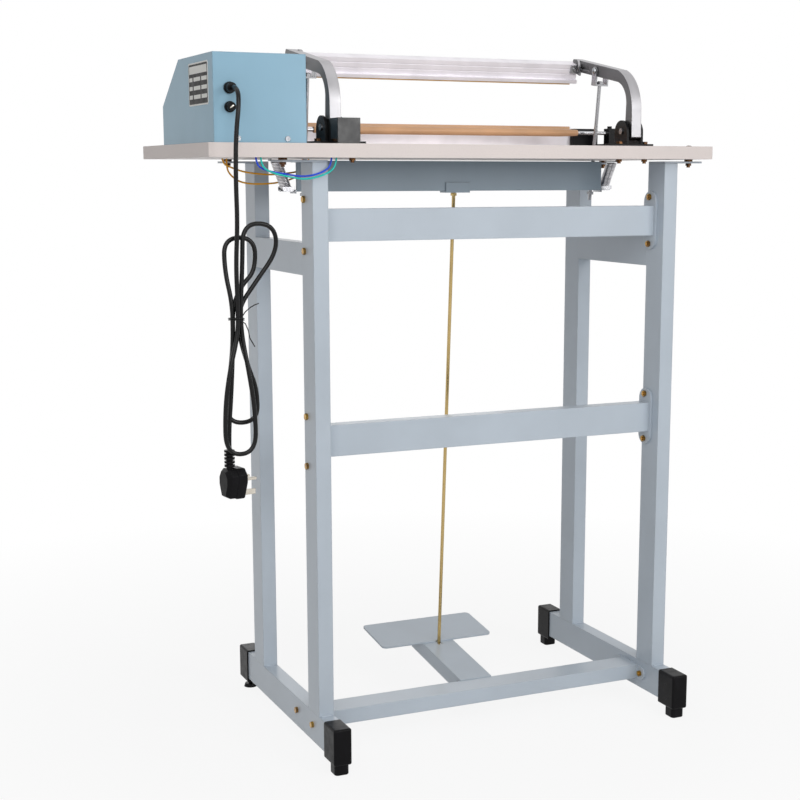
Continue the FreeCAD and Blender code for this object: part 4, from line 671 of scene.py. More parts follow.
def dress(finish: Finishes, *names: str) -> None:
    """Gives frame nodes a finish.

    Args:
        finish: The finish they get.
        *names: The nodes' names.
    """
    for name in names:
        node = frame["nodes"][name]
        node.data.materials.clear()
        node.data.materials.append(finish.material())
        log.info("dressed %s in %s", name, finish.value.name)


def linked(name: str, data: bpy.types.Mesh | bpy.types.Curve, finish: Finishes) -> bpy.types.Object:
    """Puts a new mesh or curve into the scene.

    Args:
        name: The piece's name.
        data: Its mesh or curve, in frame coordinates.
        finish: Its finish.

    Returns:
        The new object.
    """
    piece = bpy.data.objects.new(name, data)
    bpy.context.scene.collection.objects.link(piece)
    data.materials.append(finish.material())
    return piece


def as_piece(name: str, shape: Work | bpy.types.Curve, finish: Finishes, body: Body,
             smooth_below: float = 40.0) -> bpy.types.Object:
    """Puts a new piece on the machine.

    Args:
        name: The piece's name.
        shape: Its curve, or its mesh, which is freed.
        finish: Its finish.
        body: The body it rides on.
        smooth_below: Edges of a mesh that bend less than this many degrees are shaded smooth.

    Returns:
        The new object.
    """
    data = shape if isinstance(shape, bpy.types.Curve) else from_bmesh(name, shape, smooth_below)
    piece = linked(name, data, finish)
    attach(piece, body.value)
    log.info("made %s on %s", name, body.value)
    return piece


def from_bmesh(name: str, work: Work, smooth_below: float) -> bpy.types.Mesh:
    """Ends work on a mesh.

    Args:
        name: The mesh's name.
        work: The mesh being worked on, which is freed.
        smooth_below: Edges that bend less than this many degrees are shaded smooth.

    Returns:
        The finished mesh.
    """
    bmesh.ops.remove_doubles(work, verts=work.verts, dist=SAME_SPOT)
    bmesh.ops.recalc_face_normals(work, faces=work.faces)
    for face in work.faces:
        face.smooth = True
    for edge in work.edges:
        edge.smooth = len(edge.link_faces) == 2 and edge.calc_face_angle() < math.radians(smooth_below)
    mesh = bpy.data.meshes.new(name)
    work.to_mesh(mesh)
    work.free()
    return mesh


def corners_round(sides: int) -> list[float]:
    """Gives the angles of evenly spaced corners round a circle."""
    return [2.0 * math.pi * k / sides for k in range(sides)]


def closed(work: Work, rings: Sequence[Sequence[bmesh.types.BMVert]]) -> None:
    """Closes a stack of rings into a solid.

    Args:
        work: The mesh it goes into.
        rings: The rings, with as many corners each.
    """
    sides = len(rings[0])
    for first, second in zip(rings, rings[1:]):
        for k in range(sides):
            work.faces.new((first[k], first[(k + 1) % sides], second[(k + 1) % sides], second[k]))
    work.faces.new(list(reversed(rings[0])))
    work.faces.new(rings[-1])


def woven(work: Work, rows: Sequence[Sequence[bmesh.types.BMVert]]) -> None:
    """Fills a grid of corners with one open sheet.

    Args:
        work: The mesh it goes into.
        rows: The grid's rows, with as many corners each.
    """
    for first, second in zip(rows, rows[1:]):
        for k in range(len(first) - 1):
            work.faces.new((first[k], first[k + 1], second[k + 1], second[k]))


def prism(work: Work, first: Sequence[Point], second: Sequence[Point]) -> None:
    """Adds a solid between two flat outlines.

    Args:
        work: The mesh it goes into.
        first: Corners of the one outline.
        second: Corners of the other, in the same order.
    """
    near = [work.verts.new(corner) for corner in first]
    far = [work.verts.new(corner) for corner in second]
    for k, corner in enumerate(near):
        work.faces.new((corner, near[k - 1], far[k - 1], far[k]))
    work.faces.new(list(reversed(near)))
    work.faces.new(far)


def swept(work: Work, path: Sequence[Vector], radii: Sequence[float], sides: int) -> None:
    """Adds a round tube along a path.

    Args:
        work: The mesh it goes into.
        path: Points on its centreline.
        radii: Its radius at each point.
        sides: Corners of its section.
    """
    rings = []
    aside = (path[1] - path[0]).orthogonal().normalized()
    for index, (spot, radius) in enumerate(zip(path, radii)):
        ahead = (path[min(index + 1, len(path) - 1)] - path[max(index - 1, 0)]).normalized()
        aside = (aside - ahead * aside.dot(ahead)).normalized()
        other = ahead.cross(aside)
        rings.append([work.verts.new(spot + (aside * math.cos(a) + other * math.sin(a)) * radius)
                      for a in corners_round(sides)])
    closed(work, rings)


def turned(work: Work, profile: Sequence[tuple[float, float]], place: Matrix, sides: int) -> None:
    """Adds a turned piece.

    Args:
        work: The mesh it goes into.
        profile: Its (radius, height) pairs from the bottom to the top.
        place: Where it stands, with its axis along the place's Z.
        sides: Corners round it.
    """
    closed(work, [[work.verts.new(place @ Vector((radius * math.cos(a), radius * math.sin(a), height)))
                   for a in corners_round(sides)] for radius, height in profile])


def slab(work: Work, low: Point, high: Point, bevel: float = 0.0, place: Matrix | None = None) -> None:
    """Adds a block with softened edges.

    Args:
        work: The mesh it goes into.
        low: Its lowest corner.
        high: Its highest corner.
        bevel: Width of its softened edges.
        place: Where its own axes lie, if not in the frame's.
    """
    size = Vector(high) - Vector(low)
    middle = (Vector(high) + Vector(low)) / 2.0
    corners = bmesh.ops.create_cube(work, size=1.0)["verts"]
    for corner in corners:
        corner.co = Vector((corner.co.x * size.x, corner.co.y * size.y, corner.co.z * size.z)) + middle
    shell = corners
    if bevel:
        lines = list({edge for corner in corners for edge in corner.link_edges})
        made = bmesh.ops.bevel(work, geom=lines, offset=bevel, segments=SLAB_SEGMENTS,
                               profile=SLAB_PROFILE, affect="EDGES")
        shell = list(set(made["verts"]) | {corner for corner in corners if corner.is_valid})
    if place is not None:
        for corner in shell:
            corner.co = place @ corner.co


def nurbs(name: str, route: Sequence[Point], diameter: float) -> bpy.types.Curve:
    """Makes one smooth open curve along the given control points of a cord.

    Args:
        name: The curve's name.
        route: Its control points.
        diameter: The cord's diameter.

    Returns:
        The curve, with its round section.
    """
    curve = bpy.data.curves.new(name, "CURVE")
    curve.dimensions = "3D"
    line = curve.splines.new("NURBS")
    line.points.add(len(route) - 1)
    for point, spot in zip(line.points, route):
        point.co = (*spot, 1.0)
    line.order_u = CORD_ORDER
    line.use_endpoint_u = True
    line.resolution_u = CORD_STEPS
    curve.bevel_depth = diameter / 2.0
    curve.bevel_resolution = CORD_ROUND
    curve.use_fill_caps = True
    return curve


class SubAssembly:
    """Part of the machine that makes its fine pieces and dresses its frame nodes."""

    def build(self) -> None:
        """Makes the fine pieces, where there are any."""

    def dress(self) -> None:
        """Gives the frame nodes their finishes."""
        raise NotImplementedError


@dataclass
class Stand(SubAssembly):
    """Tube frame on its moulded feet, with the welds where tubes meet."""

    weld_radius: float = 0.0019
    weld_step: float = 0.0035
    weld_least: int = 4   # fewest steps of a bead
    weld_sides: int = 10
    weld_inset: float = 0.003
    # The next three are shares of the bead's radius.
    weld_out: float = 0.35
    weld_dip: float = 0.8
    weld_end: float = 0.45

    def bead(self, work: Work, start: Vector, end: Vector) -> None:
        """Adds one weld bead.

        Args:
            work: The mesh it goes into.
            start: Its first end.
            end: Its other end.
        """
        count = max(self.weld_least, round((end - start).length / self.weld_step) * 2)
        path = [start.lerp(end, k / count) for k in range(count + 1)]
        radii = [self.weld_radius * (1.0 if k % 2 else self.weld_dip) for k in range(count + 1)]
        radii[0] = radii[-1] = self.weld_radius * self.weld_end
        swept(work, path, radii, self.weld_sides)

    def build(self) -> None:
        """Makes the welds between legs, foot tubes and side rails."""
        rail_low, rail_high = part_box("side_rails")
        foot_low, foot_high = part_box("foot_tubes")
        out = self.weld_radius * self.weld_out
        legs = [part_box(name) for name in ("front_legs", "rear_legs")]
        spots = [(y + way * out, foot_high.z + out) for low, high in legs
                 for y, way in ((low.y, -1), (high.y, 1))]
        spots += [(y + way * out, z + rise * out) for y, way in ((rail_low.y, 1), (rail_high.y, -1))
                  for z, rise in ((rail_low.z, -1), (rail_high.z, 1))]
        tube = (rail_high.z - rail_low.z) / 2.0
        work = bmesh.new()
        for low_x, high_x in ((foot_low.x, foot_low.x + tube), (foot_high.x - tube, foot_high.x)):
            for y, z in spots:
                self.bead(work, Vector((low_x + self.weld_inset, y, z)),
                          Vector((high_x - self.weld_inset, y, z)))
        as_piece("frame_welds", work, Finishes.STAND, Body.STAND, smooth_below=70.0)

    def dress(self) -> None:
        """Gives the stand its finishes."""
        dress(Finishes.STAND, "foot_tubes", "front_legs", "rear_legs", "side_rails", "rear_crossbars",
              "lower_crossbar", "leg_top_plates")
        dress(Finishes.YELLOW_ZINC, "frame_bolts")
        dress(Finishes.CAP, "foot_end_caps", "levelling_foot")


@dataclass
class Table(SubAssembly):
    """Laminated board and its bolts."""

    def dress(self) -> None:
        """Gives the table its finishes."""
        dress(Finishes.BOARD, "tabletop")
        dress(Finishes.BROWN_ZINC, "table_bolts")


@dataclass
class Jaw(SubAssembly):
    """Arms, sealing bars, their cloth cover and the spare cloth behind them."""

    cover_wrap: float = 0.006
    cover_tuck: float = 0.0012
    cover_lip: float = 0.0002
    cover_round: float = 0.0015
    cover_clear: float = 0.0004
    cover_ripple: float = 0.00025
    ripple_step: float = 2.4   # radians of the hem's ripple per step
    cover_steps: int = 72
    roll_pitch: float = 0.00036
    roll_steps: int = 36
    roll_columns: int = 14
    roll_clear: float = 0.0002
    roll_loose: float = 0.0005
    roll_start: float = 2.3   # angle of the strip's inner end, in radians
    roll_slack: float = 0.00006
    slack_step: float = 1.7   # radians of the slack's wave per column
    roll_end_drawn: float = 0.0012
    roll_end_uneven: float = 0.0005
    uneven_sweep: float = 9.0   # radians of the uneven ends' wave along the strip
    boss_back: float = 0.0178
    boss_down: float = 0.0122
    boss_sides: int = 40
    boss_profile: tuple[tuple[float, float], ...] = (
        (0.0112, -0.002), (0.0112, 0.0028), (0.0107, 0.0038), (0.0098, 0.0042), (0.004704, 0.0042),
        (0.004032, 0.0032))

    def cover(self) -> None:
        """Makes the cloth cover, drawn tight over the lower jaw and down both its sides."""
        low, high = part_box("cloth_cover")
        half = ((self.cover_clear, low.z - self.cover_wrap), (self.cover_clear, low.z - self.cover_tuck),
                (0.0, high.z - self.cover_lip), (-self.cover_round, high.z))
        outline = [(low.y - out, z) for out, z in half] + [(high.y + out, z) for out, z in reversed(half)]
        work = bmesh.new()
        rows = []
        for k in range(self.cover_steps + 1):
            x = low.x + (high.x - low.x) * k / self.cover_steps
            hem = self.cover_ripple * math.sin(k * self.ripple_step)
            rows.append([work.verts.new((x, y, z + (hem if i in (0, len(outline) - 1) else 0.0)))
                         for i, (y, z) in enumerate(outline)])
        woven(work, rows)
        piece = as_piece("jaw_cover_cloth", work, Finishes.CLOTH, Body.STAND,
                         smooth_below=60.0)
        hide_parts("cloth_cover")

    def roll(self) -> None:
        """Makes the spare cloth as one strip wound round its rod, with a loose outer edge."""
        low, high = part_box("cloth_roll")
        rod_low, rod_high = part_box("cloth_roll_rod")
        centre = (low + high) / 2.0
        inner = (rod_high.z - rod_low.z) / 2.0 + self.roll_clear
        outer = (high.z - low.z) / 2.0 + self.roll_loose
        turns = (outer - inner) / self.roll_pitch
        count = int(turns * self.roll_steps)
        work = bmesh.new()
        rows, winding = [], []
        for k in range(count + 1):
            share = k / count
            angle = 2.0 * math.pi * turns * share
            radius = inner + (outer - inner) * share
            winding.append(Vector((radius * math.cos(angle), radius * math.sin(angle))))
            angle += self.roll_start
            row = []
            for c in range(self.roll_columns + 1):
                x = low.x + (high.x - low.x) * c / self.roll_columns
                reach = radius + self.roll_slack * math.sin(c * self.slack_step) * share
                if c in (0, self.roll_columns):
                    uneven = math.sin(self.uneven_sweep * share + c) - 1.0
                    x += (1 if c else -1) * self.roll_end_uneven * uneven
                    reach -= self.roll_end_drawn * share
                row.append(work.verts.new((x, centre.y + reach * math.cos(angle),
                                           centre.z + reach * math.sin(angle))))
            rows.append(row)
        woven(work, rows)
        piece = as_piece("spare_cloth_roll", work, Finishes.CLOTH, Body.STAND,
                         smooth_below=60.0)
        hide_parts("cloth_roll")

    def bosses(self) -> None:
        """Makes the round cast bosses on the inner sides of the arms' tips, where the bar is held."""
        for arm, way in (("left_arm", 1.0), ("right_arm", -1.0)):
            low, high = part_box(arm)
            inner = high.x if way > 0.0 else low.x
            turn = Matrix.Rotation(way * math.pi / 2.0, 4, "Y")
            place = Matrix.Translation((inner, low.y + self.boss_back, high.z - self.boss_down)) @ turn
            work = bmesh.new()
            turned(work, self.boss_profile, place, self.boss_sides)
            as_piece(arm + "_tip_boss", work, Finishes.CAST, Body.JAW)

    def build(self) -> None:
        """Makes the cloths and the arms' bosses."""
        self.cover()
        self.roll()
        self.bosses()

    def dress(self) -> None:
        """Gives the jaw its finishes."""
        dress(Finishes.CAST, "left_arm", "right_arm")
        dress(Finishes.BAR, "upper_sealing_bar", "lower_jaw_base")
        dress(Finishes.SILICONE, "silicone_strip")
        dress(Finishes.CLEAR_ZINC, "bar_lugs", "hinge_pins", "pull_pins")
        dress(Finishes.ROD, "cloth_roll_rod", "heating_element")
        dress(Finishes.BLACK_PAINT, "hinge_brackets", "roll_posts")
        dress(Finishes.BROWN_ZINC, "bracket_bolts")
        dress(Finishes.CAP, "jaw_end_blocks")
        dress(Finishes.HOUSING, "switch_housing", "microswitch")


@dataclass
class PullLinkage(SubAssembly):
    """Forks, rods, beam, pedal and the springs that lift the jaw again."""

    spring_turns: int = 18
    spring_steps: int = 28
    spring_radius: float = 0.0085
    spring_splay: float = 0.016
    wire_radius: float = 0.00115
    wire_sides: int = 10
    seat_thick: float = 0.0012
    seat_room: float = 0.0004
    seat_rise: float = 0.0045
    seat_drop: float = 0.0035
    seat_fold: float = 0.003

    def sides(self) -> Iterable[tuple[str, float, float]]:
        """Goes through both sides of the machine.

        Returns:
            Each side's name, with the X of its spring's upper and lower ends.
        """
        low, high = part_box("return_springs")
        reach = self.spring_radius + self.wire_radius
        for side, top_x, way in (("left", low.x + reach, -1), ("right", high.x - reach, 1)):
            yield side, top_x, top_x - way * self.spring_splay

    def springs(self) -> None:
        """Makes both springs, held by the table above and by the beam below."""
        low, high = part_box("return_springs")
        middle = (low.y + high.y) / 2.0
        foot_z, top_z = low.z + self.wire_radius, high.z - self.wire_radius
        count = self.spring_turns * self.spring_steps
        for side, top_x, foot_x in self.sides():
            path = []
            for k in range(count + 1):
                share = k / count
                angle = 2.0 * math.pi * self.spring_turns * share
                path.append(Vector((foot_x + (top_x - foot_x) * share + self.spring_radius * math.cos(angle),
                                    middle + self.spring_radius * math.sin(angle),
                                    foot_z + (top_z - foot_z) * share)))
            work = bmesh.new()
            swept(work, path, [self.wire_radius] * len(path), self.wire_sides)
            name = side + "_return_spring"
            piece = linked(name, from_bmesh(name, work, smooth_below=60.0), Finishes.SPRING)
            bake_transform(piece)
            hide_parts("return_springs")
            log.info("made %s between stand and beam", name)

    def seats(self) -> None:
        """Makes the folded seats that hold the springs' lower ends."""
        low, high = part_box("return_springs")
        middle = (low.y + high.y) / 2.0
        half = self.spring_radius + self.wire_radius + self.seat_room
        flat = half - self.seat_fold
        rim, base = low.z + self.seat_rise, low.z - self.seat_drop
        for side, _, x in self.sides():
            outline = [(x - half, rim), (x - half, base + self.seat_fold), (x - flat, base),
                       (x + flat, base), (x + half, base + self.seat_fold), (x + half, rim)]
            work = bmesh.new()
            for way in (-1, 1):
                inner, outer = middle + way * half, middle + way * (half + self.seat_thick)
                prism(work, [(a, inner, b) for a, b in outline], [(a, outer, b) for a, b in outline])
            slab(work, (x - flat, middle - half, base), (x + flat, middle + half, base + self.seat_thick))
            as_piece(side + "_spring_seat", work, Finishes.SPRING, Body.BEAM)

    def build(self) -> None:
        """Makes the springs and their seats."""
        self.springs()
        self.seats()

    def dress(self) -> None:
        """Gives the linkage its finishes."""
        dress(Finishes.BRIGHT, "left_pull_fork", "right_pull_fork", "left_pull_rod", "right_pull_rod")
        dress(Finishes.ROD_ZINC, "pedal_rod")
        dress(Finishes.CLEAR_ZINC, "spring_hooks", "spring_anchors", "pedal_pivot_pin")
        dress(Finishes.STAND, "pedal_lever", "foot_plate")
        # The beam's darker paint is painted shade.
        dress(Finishes.BEAM, "pull_beam")


@dataclass
class ControlBox(SubAssembly):
    """Box with the timer, switch and lamp, its bare plate and the dial's marks."""

    plate_low: tuple[float, float] = (0.067, 1.033)
    plate_high: tuple[float, float] = (0.169, 1.0955)
    plate_thick: float = 0.0005
    plate_border: float = 0.0022
    plate_corner: float = 0.0035
    print_thick: float = 0.0001
    space_corner: float = 0.0008
    corner_steps: int = 5
    # The next four are shares of the dark field's size.
    header: tuple[float, float, float, float] = (0.03, 0.97, 0.76, 0.95)
    rows: tuple[float, ...] = (0.13, 0.35, 0.57)
    row_high: float = 0.1
    row_fields: tuple[tuple[float, float], ...] = ((0.03, 0.2), (0.26, 0.62), (0.68, 0.97))
    marks: int = 11
    marks_per_long: int = 5
    mark_sweep: float = 270.0   # degrees from the first mark to the last
    mark_radius: float = 0.0205
    mark_long: float = 0.0045
    mark_high: float = 0.0002
    mark_half: float = 0.0004
    long_mark_half: float = 0.0007
    pointer_low: tuple[float, float] = (-0.0007, 0.002)
    pointer_high: tuple[float, float] = (0.0007, 0.0095)
    pointer_thick: float = 0.0003
    pointer_bevel: float = 0.0001
    fuse_sides: int = 32
    fuse_profile: tuple[tuple[float, float], ...] = (
        (0.0062, -0.0004), (0.0062, 0.0006), (0.0056, 0.0012), (0.004092, 0.0012), (0.003596, 0.0003))
    slot_low: Point = (-0.003472, -0.0009, 0.0001)
    slot_high: Point = (0.003472, 0.0009, 0.0008)
    slot_bevel: float = 0.0002
    slot_turn: float = 35.0   # degrees

    def card(self, work: Work, foot: float, thick: float, low: Sequence[float],
             high: Sequence[float], corner: float) -> None:
        """Adds a thin card with rounded corners, lying on the box's outer side.

        Args:
            work: The mesh it goes into.
            foot: The X it lies on.
            thick: Its thickness.
            low: Its lowest Y and Z.
            high: Its highest Y and Z.
            corner: Radius of its corners.
        """
        outline = []
        for y, z, start in ((high[0] - corner, high[1] - corner, 0), (low[0] + corner, high[1] - corner, 1),
                            (low[0] + corner, low[1] + corner, 2), (high[0] - corner, low[1] + corner, 3)):
            for k in range(self.corner_steps + 1):
                angle = math.pi / 2.0 * (start + k / self.corner_steps)
                outline.append((y + corner * math.cos(angle), z + corner * math.sin(angle)))
        prism(work, [(foot, y, z) for y, z in outline], [(foot + thick, y, z) for y, z in outline])

    def plate(self) -> None:
        """Makes the bare plate on the box's outer side: a pale card, a dark field and its blank spaces."""
        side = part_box("control_box_cover")[1].x
        face = side + self.plate_thick
        low = [value + self.plate_border for value in self.plate_low]
        high = [value - self.plate_border for value in self.plate_high]
        wide, tall = high[0] - low[0], high[1] - low[1]
        sheet, field, blank = bmesh.new(), bmesh.new(), bmesh.new()
        self.card(sheet, side, self.plate_thick, self.plate_low, self.plate_high, self.plate_corner)
        self.card(field, face, self.print_thick, low, high, self.plate_corner - self.plate_border / 2.0)
        spaces = [self.header]
        spaces += [(left, right, row, row + self.row_high) for row in self.rows
                   for left, right in self.row_fields]
        for left, right, base, top in spaces:
            self.card(blank, face + self.print_thick, self.print_thick,
                      (low[0] + wide * left, low[1] + tall * base),
                      (low[0] + wide * right, low[1] + tall * top), self.space_corner)
        as_piece("bare_plate", sheet, Finishes.MARK, Body.STAND)
        as_piece("bare_plate_field", field, Finishes.FIELD, Body.STAND)
        as_piece("blank_plate_spaces", blank, Finishes.MARK, Body.STAND)

    def fuse_cap(self) -> None:
        """Makes the dished end of the fuse holder's cap and the slot across it."""
        low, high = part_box("fuse_holder")
        centre = Vector(((low.x + high.x) / 2.0, high.y, (low.z + high.z) / 2.0))
        place = Matrix.Translation(centre) @ Matrix.Rotation(-math.pi / 2.0, 4, "X")
        turn = place @ Matrix.Rotation(math.radians(self.slot_turn), 4, "Z")
        end, slot = bmesh.new(), bmesh.new()
        turned(end, self.fuse_profile, place, self.fuse_sides)
        slab(slot, self.slot_low, self.slot_high, self.slot_bevel, turn)
        as_piece("fuse_cap_end", end, Finishes.KNOB, Body.STAND)
        as_piece("fuse_cap_slot", slot, Finishes.NICKEL, Body.STAND)

    def knob_place(self) -> Matrix:
        """Finds the knob's own axes: Z out of the panel and Y up the slope.

        Returns:
            The place at the middle of the knob's foot.
        """
        joint = next(item for item in frame["joints"] if item["child"] == Body.KNOB.value)
        normal = Vector(joint["axis"]).normalized()
        across = Vector((1.0, 0.0, 0.0))
        place = Matrix((across, normal.cross(across), normal)).transposed().to_4x4()
        place.translation = Vector(joint["pos_m"])
        return place

    def pointer(self) -> None:
        """Makes the pale line on the knob's face."""
        place = self.knob_place()
        out = place.inverted()
        top = max((out @ corner.co).z for corner in frame["nodes"]["timer_knob"].data.vertices)
        work = bmesh.new()
        slab(work, (*self.pointer_low, top), (*self.pointer_high, top + self.pointer_thick),
             self.pointer_bevel, place)
        as_piece("knob_pointer", work, Finishes.MARK, Body.KNOB)

    def dial(self) -> None:
        """Makes the dial's marks round the knob."""
        place = self.knob_place()
        work = bmesh.new()
        for k in range(self.marks):
            turn = math.radians(self.mark_sweep * (0.5 - k / (self.marks - 1)))
            half = self.mark_half if k % self.marks_per_long else self.long_mark_half
            slab(work, (-half, self.mark_radius, 0.0),
                 (half, self.mark_radius + self.mark_long, self.mark_high),
                 place=place @ Matrix.Rotation(turn, 4, "Z"))
        as_piece("dial_marks", work, Finishes.MARK, Body.STAND)

    def build(self) -> None:
        """Makes the plate, the dial's marks, the knob's line and the fuse cap's end."""
        self.plate()
        self.dial()
        self.pointer()
        self.fuse_cap()

    def dress(self) -> None:
        """Gives the box its finishes."""
        dress(Finishes.BOX, "control_box_cover", "control_box_base")
        dress(Finishes.KNOB, "timer_knob", "power_switch_body", "cord_gland", "fuse_holder", "timer_unit")
        dress(Finishes.ROCKER, "power_switch_rocker")
        dress(Finishes.LENS, "indicator_lamp")
        dress(Finishes.COPPER, "transformer")
        dress(Finishes.CIRCUIT, "timer_board")
        dress(Finishes.CLEAR_ZINC, "cover_screws")


@dataclass
class Wiring(SubAssembly):
    """Power cord with its tie and plug, and the leads under the table."""

    cord_diameter: float = 0.0068
    lead_diameter: float = 0.0028
    tie_wire: float = 0.0009
    tie_sides: int = 8
    tie_steps: int = 48
    tie_lifts: tuple[float, ...] = (-0.0011, 0.0011)
    tie_tilt: float = 0.0008
    tie_tilt_from: float = 0.6   # radians
    tail_start: tuple[float, float] = (-0.35, 0.94)   # shares of the tie's radius
    tail_back: float = 0.15
    tail_taper: float = 0.9
    tails: tuple[tuple[tuple[float, float], ...], ...] = (
        ((0.0, 0.002), (0.006, 0.011), (0.013, 0.017), (0.02, 0.021), (0.026, 0.023)),
        ((0.0, -0.002), (0.006, -0.006), (0.01, -0.016), (0.012, -0.027), (0.019, -0.04)))
    cord_route: tuple[Point, ...] = (
        (0.4005, 0.207, 1.0555), (0.4005, 0.2275, 1.0555), (0.402, 0.245, 1.037), (0.408, 0.2435, 0.985),
        (0.409, 0.2425, 0.92), (0.4075, 0.2415, 0.862), (0.411, 0.241, 0.805), (0.4096, 0.2408, 0.748),
        (0.4096, 0.2412, 0.705), (0.426, 0.247, 0.65), (0.4345, 0.248, 0.595), (0.4345, 0.248, 0.528),
        (0.3885, 0.248, 0.528), (0.3885, 0.248, 0.59), (0.396, 0.244, 0.65), (0.4039, 0.2364, 0.705),
        (0.4036, 0.236, 0.748), (0.3995, 0.235, 0.805), (0.398, 0.2345, 0.862), (0.352, 0.234, 0.862),
        (0.344, 0.233, 0.824), (0.378, 0.23, 0.778), (0.4042, 0.2287, 0.742), (0.4062, 0.2287, 0.705),
        (0.39, 0.2265, 0.65), (0.378, 0.226, 0.619), (0.378, 0.226, 0.571), (0.4245, 0.226, 0.571),
        (0.4245, 0.226, 0.619), (0.417, 0.227, 0.657), (0.4138, 0.2288, 0.705), (0.4136, 0.2286, 0.742),
        (0.4, 0.227, 0.772), (0.377, 0.226, 0.794), (0.3775, 0.226, 0.842), (0.424, 0.2265, 0.842),
        (0.4245, 0.229, 0.795), (0.4163, 0.236, 0.748), (0.4162, 0.2356, 0.705), (0.4175, 0.2345, 0.66),
        (0.421, 0.234, 0.605), (0.425, 0.234, 0.562), (0.425, 0.234, 0.533))
    first_heater: tuple[Point, ...] = (
        (0.3545, -0.003, 0.963), (0.3545, -0.003, 0.95), (0.3405, -0.003, 0.943), (0.3165, -0.003, 0.935),
        (0.2785, -0.003, 0.9315), (0.2625, -0.003, 0.9325), (0.2345, -0.004, 0.935), (0.2125, -0.011, 0.94),
        (0.2025, -0.021, 0.948), (0.2025, -0.021, 0.963))
    second_heater: tuple[Point, ...] = (
        (0.3455, -0.009, 0.963), (0.3455, -0.009, 0.943), (0.3405, -0.009, 0.932), (0.3265, -0.009, 0.921),
        (0.3065, -0.009, 0.917), (0.2825, -0.009, 0.917), (0.2625, -0.009, 0.9185), (0.2405, -0.009, 0.923),
        (0.2205, -0.014, 0.931), (0.2105, -0.025, 0.945), (0.2105, -0.025, 0.963))
    first_switch: tuple[Point, ...] = (
        (0.359, 0.182, 0.963), (0.359, 0.182, 0.947), (0.345, 0.18, 0.938), (0.315, 0.179, 0.933),
        (0.28, 0.178, 0.928), (0.25, 0.178, 0.936), (0.238, 0.178, 0.947), (0.238, 0.178, 0.963))
    second_switch: tuple[Point, ...] = (
        (0.353, 0.1865, 0.963), (0.353, 0.1865, 0.946), (0.338, 0.184, 0.935), (0.31, 0.183, 0.929),
        (0.28, 0.1825, 0.924), (0.246, 0.183, 0.933), (0.232, 0.183, 0.946), (0.232, 0.183, 0.963))

    def cord(self) -> None:
        """Makes the power cord, tied in its hank, with the plug on its end."""
        curve = nurbs("power_cord_line", self.cord_route, self.cord_diameter)
        piece = as_piece("power_cord_line", curve, Finishes.JACKET, Body.STAND)
        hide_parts("power_cord")
        self.tie()

    def tie(self) -> bpy.types.Object:
        """Makes the twisted wire that holds the cord's hank, with its two loose ends.

        Returns:
            The tie's object.
        """
        low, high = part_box("cord_tie")
        centre = (low + high) / 2.0
        reach = (high.x - low.x) / 2.0 - self.tie_wire
        work = bmesh.new()
        for lift in self.tie_lifts:
            ring = []
            for k in range(self.tie_steps + 1):
                angle = 2.0 * math.pi * k / self.tie_steps
                rise = lift + self.tie_tilt * math.sin(angle + self.tie_tilt_from)
                ring.append(centre + Vector((reach * math.cos(angle), reach * math.sin(angle), rise)))
            swept(work, ring, [self.tie_wire] * len(ring), self.tie_sides)
        start = centre + Vector((*(reach * share for share in self.tail_start), 0.0))
        for tail in self.tails:
            path = [start + Vector((-across, self.tail_back * across, up)) for across, up in tail]
            swept(work, path, [self.tie_wire * self.tail_taper] * len(path), self.tie_sides)
        piece = as_piece("cord_tie_wire", work, Finishes.JACKET, Body.STAND,
                         smooth_below=60.0)
        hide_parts("cord_tie")
        return piece

    def leads(self) -> None:
        """Makes the four leads under the table."""
        heater, switch = ("heater_leads", Slot.LEAD_YELLOW), ("switch_leads", Slot.LEAD_BLUE)
        for name, route, finish, (node, slot) in (
                ("heater_lead_one", self.first_heater, Finishes.LEAD_YELLOW, heater),
                ("heater_lead_two", self.second_heater, Finishes.LEAD_YELLOW, heater),
                ("switch_lead_one", self.first_switch, Finishes.LEAD_BLUE, switch),
                ("switch_lead_two", self.second_switch, Finishes.LEAD_GREEN, switch)):
            curve = nurbs(name, route, self.lead_diameter)
            piece = as_piece(name, curve, finish, Body.STAND)
            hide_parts(node)

    def build(self) -> None:
        """Makes the cord and the leads."""
        self.cord()
        self.leads()

    def dress(self) -> None:
        """Gives the wiring's frame nodes their finishes."""
        dress(Finishes.CAP, "power_plug")
        dress(Finishes.NICKEL, "plug_pins")


@dataclass(frozen=True)
class Lamp:
    """A soft square lamp: its name, place, side in metres and power in watts."""

    name: str
    place: Point
    size: float
    power: float


